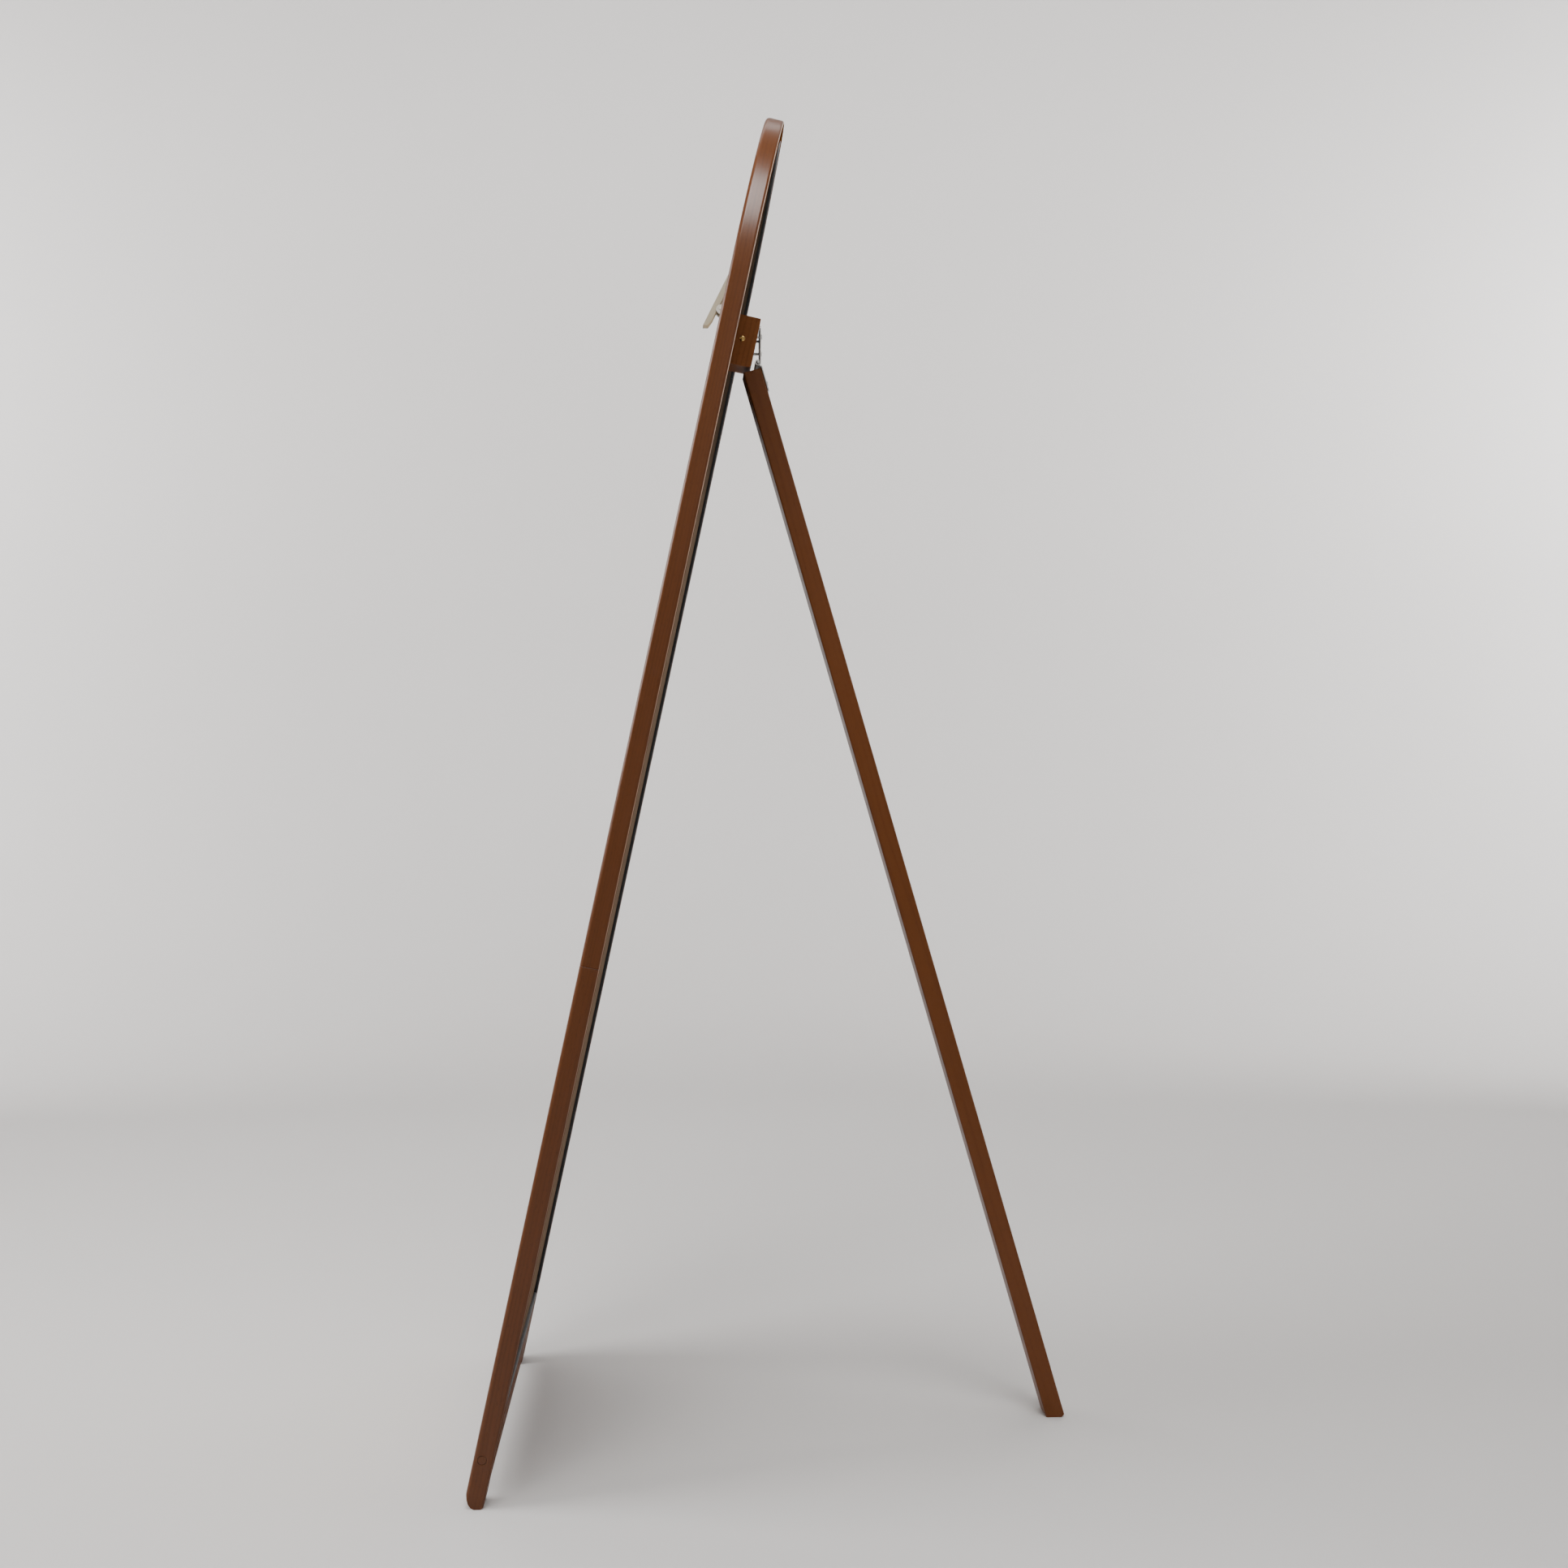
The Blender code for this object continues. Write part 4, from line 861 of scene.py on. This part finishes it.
def make_leaf(node, name, plane, body, knuckles, upwards, shape, finish):
    """A hinge leaf from one sheet: a plate with tongues that roll round the pin."""
    low, high = plane_box(node, plane)
    rear = high.y
    half = high.x
    reach = high.z if upwards > 0 else low.z
    notch = upwards * LEAF_NOTCH
    stops = sorted({-half, half, *(end for pair in knuckles for end in pair)})
    bm = bmesh.new()
    base = [bm.verts.new((x, rear, notch)) for x in stops]
    edges = [bm.edges.new(pair) for pair in zip(base, base[1:])]
    tongues = [edge for edge in edges if any(
        near(min(vert.co.x for vert in edge.verts), pair[0]) for pair in knuckles)]
    stretch_edges(bm, edges, (0, 0, reach - notch))
    for tongue in tongues:
        rolled = stretch_edges(bm, [tongue], (0, 0, -notch))
        turn_edges(bm, rolled, (0, 0, 0), (-upwards, 0, 0), LEAF_CURL, 40)
    corners = [vert for vert in bm.verts if near(vert.co.z, reach) and near(abs(vert.co.x), half)]
    bmesh.ops.bevel(bm, geom=corners, offset=LEAF_CORNER, segments=6, profile=0.5, affect="VERTICES",
                    material=-1)
    bmesh.ops.recalc_face_normals(bm, faces=bm.faces)
    rear_face = [face for face in bm.faces if near(face.calc_center_median().y, rear)][0]
    if rear_face.normal.y < 0:
        bmesh.ops.reverse_faces(bm, faces=bm.faces)
    bmesh.ops.solidify(bm, geom=bm.faces[:], thickness=shape.leaf_thickness)
    soften(bm, sharp_edges(bm), 0.00018, 2)
    leaf = as_object(placed(bm, plane), name)
    adopt(leaf, body, finish, "plated_steel", node)


def make_pin(node, plane, rounding, segments, finish):
    """A steel pin that runs across the easel, its rims rounded."""
    low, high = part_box(node)
    bm = new_rod((high.z - low.z) / 2, low.x, high.x)
    soften(bm, sharp_edges(bm), rounding, segments)
    pin = as_object(placed(bm, plane @ FACING_RIGHT), node + "_rod")
    adopt(pin, "frame", finish, "plated_steel", node)


def domed_screw(radius, height, tip):
    """A screw with a domed head above the origin, turned from its outline."""
    bm = bmesh.new()
    shank = 0.5 * radius
    outline = [(0.0, height), (0.45 * radius, 0.94 * height), (0.75 * radius, 0.76 * height),
               (0.93 * radius, 0.46 * height), (radius, 0.0002), (0.98 * radius, 0.0), (shank, 0.0),
               (shank, -tip + 2.2 * shank), (0.0, -tip)]
    verts = [bm.verts.new((x, 0, z)) for x, z in outline]
    edges = [bm.edges.new(pair) for pair in zip(verts, verts[1:])]
    bmesh.ops.spin(bm, geom=verts + edges, cent=(0, 0, 0), axis=(0, 0, 1), angle=2 * math.pi, steps=40,
                   use_merge=True)
    bmesh.ops.remove_doubles(bm, verts=bm.verts, dist=0.000005)
    return bm


def make_screw(node, name, plane, facing, body, finish, finish_name="plated_steel", cross=True, turn=0.0,
               slot_width=0.13):
    """A domed screw with a driver recess. Its seat comes from the CAD screw's box."""
    flat = plane @ facing
    low, high = plane_box(node, flat)
    middle = (low + high) / 2
    radius = (high.x - low.x) / 2
    height = HEAD_HEIGHT * radius
    seat = flat @ Matrix.Translation((middle.x, middle.y, high.z - height)) @ Matrix.Rotation(turn, 4, "Z")
    screw = as_object(placed(domed_screw(radius, height, high.z - height - low.z), seat), name)
    reach = (CROSS_REACH if cross else SLOT_REACH) * radius
    width = slot_width * radius
    floor = RECESS_FLOOR * height
    cuts = [new_bar((-reach, -width, floor), (reach, width, 2 * height))]
    if cross:
        cuts.append(new_bar((-width * 1.04, -reach, floor * 0.98), (width * 1.04, reach, 2.1 * height)))
    carve(screw, *[("DIFFERENCE", placed(bm, seat)) for bm in cuts])
    adopt(screw, body, finish, finish_name, node)


def make_hinge_screws(finish):
    """Six cross-recessed screws in the hinge leaves."""
    turns = iter((0.3, 1.0, -0.4, 0.8, 0.1, -0.7))
    for leaf, plane, body in (("upper", PIN_PLANE, "frame"), ("lower", LEG_PLANE, "prop_leg")):
        for word in ("left", "right", "middle"):
            node = leaf + "_leaf_screw_" + word
            make_screw(node, node + "_head", plane, FACING_BACK, body, finish, turn=next(turns))


def make_side_screw(finish):
    """The slotted brass screw in the right-hand side of the block."""
    make_screw("block_side_screw", "brass_side_screw", FRAME_PLANE, FACING_RIGHT, "frame", finish,
               "side_brass", cross=False, turn=math.pi / 2, slot_width=0.2)


# ---------------------------------------------------------------- peg

def jaw_outline(high, low):
    """Outline of the peg from the side, as (along, deep), read from the CAD peg's box."""
    along = high.z - low.z
    thick = PEG_THICKNESS
    reach = high.y - low.y
    return [(0, 0), (along, 0), (along, thick), (0.96 * along, reach), (0.93 * along, reach),
            (0.87 * along, thick), (0.14 * along, thick),
            (0.8 * thick * math.tan(LEAN + PEG_TILT), 0.8 * thick)]


def make_peg_lever(shape, finish):
    """The peg's lever: handle, boss round the pin, and the jaw that rests on the board."""
    low, high = plane_box("peg_lever", PEG_PLANE)
    bm = bmesh.new()
    side = face_of(bm, [(-high.x, low.y + deep, low.z + along) for along, deep in jaw_outline(high, low)])
    push_out(bm, [side], (2 * high.x, 0, 0))
    soften(bm, sharp_edges(bm), shape.peg_round, 3)
    lever = as_object(placed(bm, PEG_PLANE), "peg_wood")
    boss = 0.0052
    half_slot = 0.0048
    pivot = 0.0038
    carve(lever,
          ("UNION", placed(new_rod(boss, -high.x, high.x, chamfer=0.0003), PEG_PLANE @ FACING_RIGHT)),
          ("DIFFERENCE", placed(new_bar((-half_slot, -pivot, -2 * boss), (half_slot, 2 * boss, 2 * boss)),
                                PEG_PLANE)),
          ("DIFFERENCE", placed(new_rod(PEG_PIN_HOLE, -2 * high.x, 2 * high.x),
                                PEG_PLANE @ FACING_RIGHT)))
    grain_from(lever, along_z(PEG_PLANE), (0.005, 0.0, 0.4))
    adopt(lever, "peg_lever", finish, "pale_peg", "peg_lever")


def make_peg_bracket(finish):
    """The steel channel behind the peg: a plate on the board and an ear on each side."""
    low, high = plane_box("peg_bracket", PEG_BASE_PLANE)
    sheet = PEG_SHEET
    ear = 0.006
    root = 1.7 * ear
    plate = new_bar((low.x, high.y - sheet, low.z), high)
    soften(plate, sharp_edges(plate, lambda co: near(co.z, low.z) or near(co.z, high.z)), 0.0003, 2)
    bracket = as_object(placed(plate, PEG_BASE_PLANE), "peg_channel")
    steps = []
    for side in (-1, 1):
        bm = bmesh.new()
        bmesh.ops.create_circle(bm, cap_ends=True, radius=ear, segments=48)
        slice_off(bm, (0, 0, 0), (0, 1, 0), close=False)
        flat_edge = [edge for edge in bm.edges if all(near(vert.co.y, 0) for vert in edge.verts)]
        wide = stretch_edges(bm, flat_edge, (0, high.y - sheet / 2, 0))
        ends = list(dict.fromkeys(vert for edge in wide for vert in edge.verts))
        bmesh.ops.scale(bm, vec=(root / ear, 1, 1), verts=ends)
        push_out(bm, bm.faces[:], (0, 0, sheet))
        inwards = low.x if side < 0 else high.x - sheet
        upright = Matrix(((0, 0, 1, inwards), (0, 1, 0, 0), (1, 0, 0, 0), (0, 0, 0, 1)))
        steps.append(("UNION", placed(bm, PEG_BASE_PLANE @ upright)))
    hole = new_rod(PEG_PIN_HOLE, -0.03, 0.03)
    steps.append(("DIFFERENCE", placed(hole, PEG_BASE_PLANE @ FACING_RIGHT)))
    carve(bracket, *steps)
    adopt(bracket, "frame", finish, "plated_steel", "peg_bracket")


def make_peg_spring(finish):
    """The torsion spring: turns round the pin, one leg under the lever and one on the bracket."""
    high = plane_box("peg_spring", PEG_BASE_PLANE)[1]
    wire = 0.0006
    coil = 0.0030
    turns = 4.5
    half = high.x - wire
    start = math.pi - PEG_TILT
    first = Vector((-half, coil * math.cos(start), coil * math.sin(start)))
    bm = bmesh.new()
    aim = Vector((0, -math.sin(start), math.cos(start)))
    section = bmesh.ops.create_circle(bm, radius=wire, segments=12)["verts"]
    tilt = aim.to_track_quat("Z", "Y").to_matrix().to_4x4()
    bmesh.ops.transform(bm, matrix=Matrix.Translation(first) @ tilt, verts=section)
    ring = bm.edges[:]
    steps = int(turns * 24)
    last = bmesh.ops.spin(bm, geom=section + ring, cent=(0, 0, 0), axis=(1, 0, 0),
                          angle=2 * math.pi * turns, steps=steps, dvec=(2 * half / steps, 0, 0))
    end = only(BMEdge, last["geom_last"])
    leg = 0.018
    stretch_edges(bm, ring, Vector((0, math.sin(PEG_TILT), math.cos(PEG_TILT))) * leg)
    centre = sum((vert.co for edge in end for vert in edge.verts), Vector()) / (2 * len(end))
    board = plane_box("peg_bracket", PEG_BASE_PLANE)[1].y - PEG_SHEET
    stretch_edges(bm, end, Vector((half, board - 2 * wire, leg)) - centre)
    fill_ends(bm)
    spring = as_object(placed(bm, PEG_BASE_PLANE), "peg_torsion_spring")
    adopt(spring, "frame", finish, "plated_steel", "peg_spring")


def make_peg_screws(finish):
    """The two screws that hold the bracket to the board."""
    for word, turn in (("lower", 0.5), ("upper", -0.2)):
        node = "peg_screw_" + word
        make_screw(node, node + "_head", PEG_BASE_PLANE, FACING_FRONT, "frame", finish, turn=turn)


HIDDEN_PIECES = {
    "raw_beech": ("splice_dowel_left", "splice_dowel_right", "rail_dowel_left", "rail_dowel_right"),
    "plated_steel": ("rail_screw_left", "rail_screw_right", "block_screw_lower_left",
                     "block_screw_lower_right", "block_screw_upper_left", "block_screw_upper_right"),
}


# ---------------------------------------------------------------- stage

def make_studio(stage):
    """A round seamless floor and wall, open at the top."""
    bm = bmesh.new()
    middle = bm.verts.new((0, 0, 0))
    rim = bm.verts.new((stage.floor_radius, 0, 0))
    bm.edges.new((middle, rim))
    cove = bmesh.ops.spin(bm, geom=[rim], cent=(stage.floor_radius, 0, stage.cove_radius), axis=(0, -1, 0),
                          angle=math.pi / 2, steps=16)["geom_last"]
    raised = bmesh.ops.extrude_vert_indiv(bm, verts=only(BMVert, cove))["verts"]
    bmesh.ops.translate(bm, verts=raised, vec=(0, 0, stage.wall_height - stage.cove_radius))
    profile = bm.verts[:] + bm.edges[:]
    bmesh.ops.spin(bm, geom=profile, cent=(0, 0, 0), axis=(0, 0, 1), angle=2 * math.pi, steps=96,
                   use_merge=True)
    bmesh.ops.remove_doubles(bm, verts=bm.verts, dist=CLOSE)
    bmesh.ops.recalc_face_normals(bm, faces=bm.faces)
    bmesh.ops.reverse_faces(bm, faces=bm.faces)
    mesh = bpy.data.meshes.new("studio")
    bm.to_mesh(mesh)
    bm.free()
    mesh.shade_smooth()
    mesh.materials.append(studio_surface("studio_paint", tuple(stage.backdrop)))
    studio = bpy.data.objects.new("studio", mesh)
    bpy.context.scene.collection.objects.link(studio)


def add_softbox(name, place, aim, size, energy):
    """An area light that faces a point."""
    light = bpy.data.lights.new(name, "AREA")
    light.shape = "RECTANGLE"
    light.size, light.size_y = size
    light.energy = energy
    obj = bpy.data.objects.new(name, light)
    obj.location = place
    obj.rotation_euler = (Vector(aim) - Vector(place)).to_track_quat("-Z", "Y").to_euler()
    bpy.context.scene.collection.objects.link(obj)


def make_lights(stage):
    """Softboxes on both sides, overhead and by the camera, lights on the wall, and an even sky."""
    add_softbox("left_softbox", (0.4, -2.9, 2.3), (0, 0, 0.8), (1.8, 1.8), stage.left_power)
    add_softbox("right_softbox", (0.2, 3.0, 2.3), (0, 0, 0.8), (1.6, 1.6), stage.right_power)
    add_softbox("top_softbox", (1.25, -0.1, 3.5), (0, 0, 1.2), (1.2, 1.2), stage.top_power)
    add_softbox("wall_light", (-2.4, 0.0, 4.8), (-5.2, 0, 1.6), (3.0, 1.0), stage.wall_power)
    for side, word in SIDES:
        add_softbox(word + "_wall_glow", (-1.8, side * 3.3, 2.4), (-4.2, side * 3.8, 2.5), (0.8, 0.8),
                    stage.glow_power)
    add_softbox("camera_softbox", (3.2, 0.9, 2.2), (0, 0, 0.9), (1.2, 1.2), stage.front_power)
    world = bpy.data.worlds.new("even_sky")
    world.use_nodes = True
    sky = world.node_tree.nodes["Background"]
    sky.inputs["Color"].default_value = (1.0, 0.99, 0.975, 1.0)
    sky.inputs["Strength"].default_value = stage.sky
    bpy.context.scene.world = world


def make_camera(stage):
    """A level camera beside the easel, a little behind it."""
    camera = bpy.data.cameras.new("easel_camera")
    camera.lens = stage.lens
    obj = bpy.data.objects.new("easel_camera", camera)
    obj.location = stage.camera_place
    obj.rotation_euler = (math.pi / 2, 0, stage.camera_turn)
    bpy.context.scene.collection.objects.link(obj)
    bpy.context.scene.camera = obj


# ---------------------------------------------------------------- operators

class EASEL_OT_frame_wood(bpy.types.Operator):
    """Make the bent head, the lower stiles and the bottom rail"""

    bl_idname = "easel.frame_wood"
    bl_label = "Frame Wood"

    def execute(self, context):
        shape, finish = context.scene.easel_shape, finishes(context)
        make_bent_head(shape, finish)
        for side, word in SIDES:
            make_lower_stile(side, word, shape, finish)
        make_bottom_rail(shape, finish)
        return {"FINISHED"}


class EASEL_OT_rail_plugs(bpy.types.Operator):
    """Make the plugs over the rail screws"""

    bl_idname = "easel.rail_plugs"
    bl_label = "Rail Plugs"

    def execute(self, context):
        finish = finishes(context)
        for side, word in SIDES:
            make_rail_plug(side, word, finish)
        return {"FINISHED"}


class EASEL_OT_boards(bpy.types.Operator):
    """Make the drawing board and the back board"""

    bl_idname = "easel.boards"
    bl_label = "Boards"

    def execute(self, context):
        shape, finish = context.scene.easel_shape, finishes(context)
        make_board("drawing_board", "drawing_panel", "birch_face", shape, finish)
        make_board("back_board", "back_panel", "hardboard_back", shape, finish)
        return {"FINISHED"}


class EASEL_OT_beads(bpy.types.Operator):
    """Make the black beads round the back board"""

    bl_idname = "easel.beads"
    bl_label = "Beads"

    def execute(self, context):
        make_beads(context.scene.easel_shape, finishes(context))
        return {"FINISHED"}


class EASEL_OT_hinge_block(bpy.types.Operator):
    """Make the hinge block and its brass side screw"""

    bl_idname = "easel.hinge_block"
    bl_label = "Hinge Block"

    def execute(self, context):
        shape, finish = context.scene.easel_shape, finishes(context)
        make_hinge_block(shape, finish)
        make_side_screw(finish)
        return {"FINISHED"}


class EASEL_OT_prop_leg(bpy.types.Operator):
    """Make the prop leg"""

    bl_idname = "easel.prop_leg"
    bl_label = "Prop Leg"

    def execute(self, context):
        make_prop_leg(context.scene.easel_shape, finishes(context))
        return {"FINISHED"}


class EASEL_OT_hinge(bpy.types.Operator):
    """Make the hinge: two leaves, the pin and six screws"""

    bl_idname = "easel.hinge"
    bl_label = "Hinge"

    def execute(self, context):
        shape, finish = context.scene.easel_shape, finishes(context)
        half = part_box("hinge_upper_leaf")[1].x
        inner = MIDDLE_KNUCKLE + GAP
        middle = ((-MIDDLE_KNUCKLE, MIDDLE_KNUCKLE),)
        outer = ((-half, -inner), (inner, half))
        make_leaf("hinge_upper_leaf", "upper_leaf", PIN_PLANE, "frame", outer, 1, shape, finish)
        make_leaf("hinge_lower_leaf", "lower_leaf", LEG_PLANE, "prop_leg", middle, -1, shape, finish)
        make_pin("hinge_pin", PIN_PLANE, HINGE_PIN_DOME, 4, finish)
        make_hinge_screws(finish)
        return {"FINISHED"}


class EASEL_OT_peg(bpy.types.Operator):
    """Make the sprung peg on the front of the board"""

    bl_idname = "easel.peg"
    bl_label = "Peg"

    def execute(self, context):
        finish = finishes(context)
        make_peg_lever(context.scene.easel_shape, finish)
        make_peg_bracket(finish)
        make_pin("peg_pin", PEG_BASE_PLANE, PEG_PIN_EASE, 2, finish)
        make_peg_spring(finish)
        make_peg_screws(finish)
        return {"FINISHED"}


class EASEL_OT_hidden_pieces(bpy.types.Operator):
    """Finish the dowels and screws that sit inside the wood"""

    bl_idname = "easel.hidden_pieces"
    bl_label = "Hidden Pieces"

    def execute(self, context):
        finish = finishes(context)
        for name, nodes in HIDDEN_PIECES.items():
            for node in nodes:
                mesh = frame["nodes"][node].data
                mesh.materials.clear()
                mesh.materials.append(finish(name))
        return {"FINISHED"}


class EASEL_OT_stage(bpy.types.Operator):
    """Make the studio, the lights and the camera"""

    bl_idname = "easel.stage"
    bl_label = "Stage"

    def execute(self, context):
        stage = context.scene.easel_stage
        make_studio(stage)
        make_lights(stage)
        make_camera(stage)
        return {"FINISHED"}


OPERATORS = (EASEL_OT_frame_wood, EASEL_OT_rail_plugs, EASEL_OT_boards, EASEL_OT_beads,
             EASEL_OT_hinge_block, EASEL_OT_prop_leg, EASEL_OT_hinge, EASEL_OT_peg,
             EASEL_OT_hidden_pieces, EASEL_OT_stage)


class EASEL_PT_panel(bpy.types.Panel):
    """Settings and steps of the easel"""

    bl_idname = "EASEL_PT_panel"
    bl_label = "Round-topped Easel"
    bl_space_type = "VIEW_3D"
    bl_region_type = "UI"
    bl_category = "Easel"

    def draw(self, context):
        layout = self.layout
        for operator in OPERATORS:
            layout.operator(operator.bl_idname)
        for settings in (context.scene.easel_shape, context.scene.easel_finish, context.scene.easel_stage):
            box = layout.box()
            for name in settings.__annotations__:
                box.prop(settings, name)


SETTINGS = {"easel_shape": EaselShape, "easel_finish": EaselFinish, "easel_stage": EaselStage}
CLASSES = (*SETTINGS.values(), *OPERATORS, EASEL_PT_panel)


def register():
    for item in CLASSES:
        bpy.utils.register_class(item)
    for name, settings in SETTINGS.items():
        setattr(bpy.types.Scene, name, PointerProperty(type=settings))


def unregister():
    for name in SETTINGS:
        delattr(bpy.types.Scene, name)
    for item in reversed(CLASSES):
        bpy.utils.unregister_class(item)


def main():
    """Build every piece in order."""
    register()
    for operator in OPERATORS:
        group, name = operator.bl_idname.split(".")
        getattr(getattr(bpy.ops, group), name)()


if __name__ == "__main__":
    main()
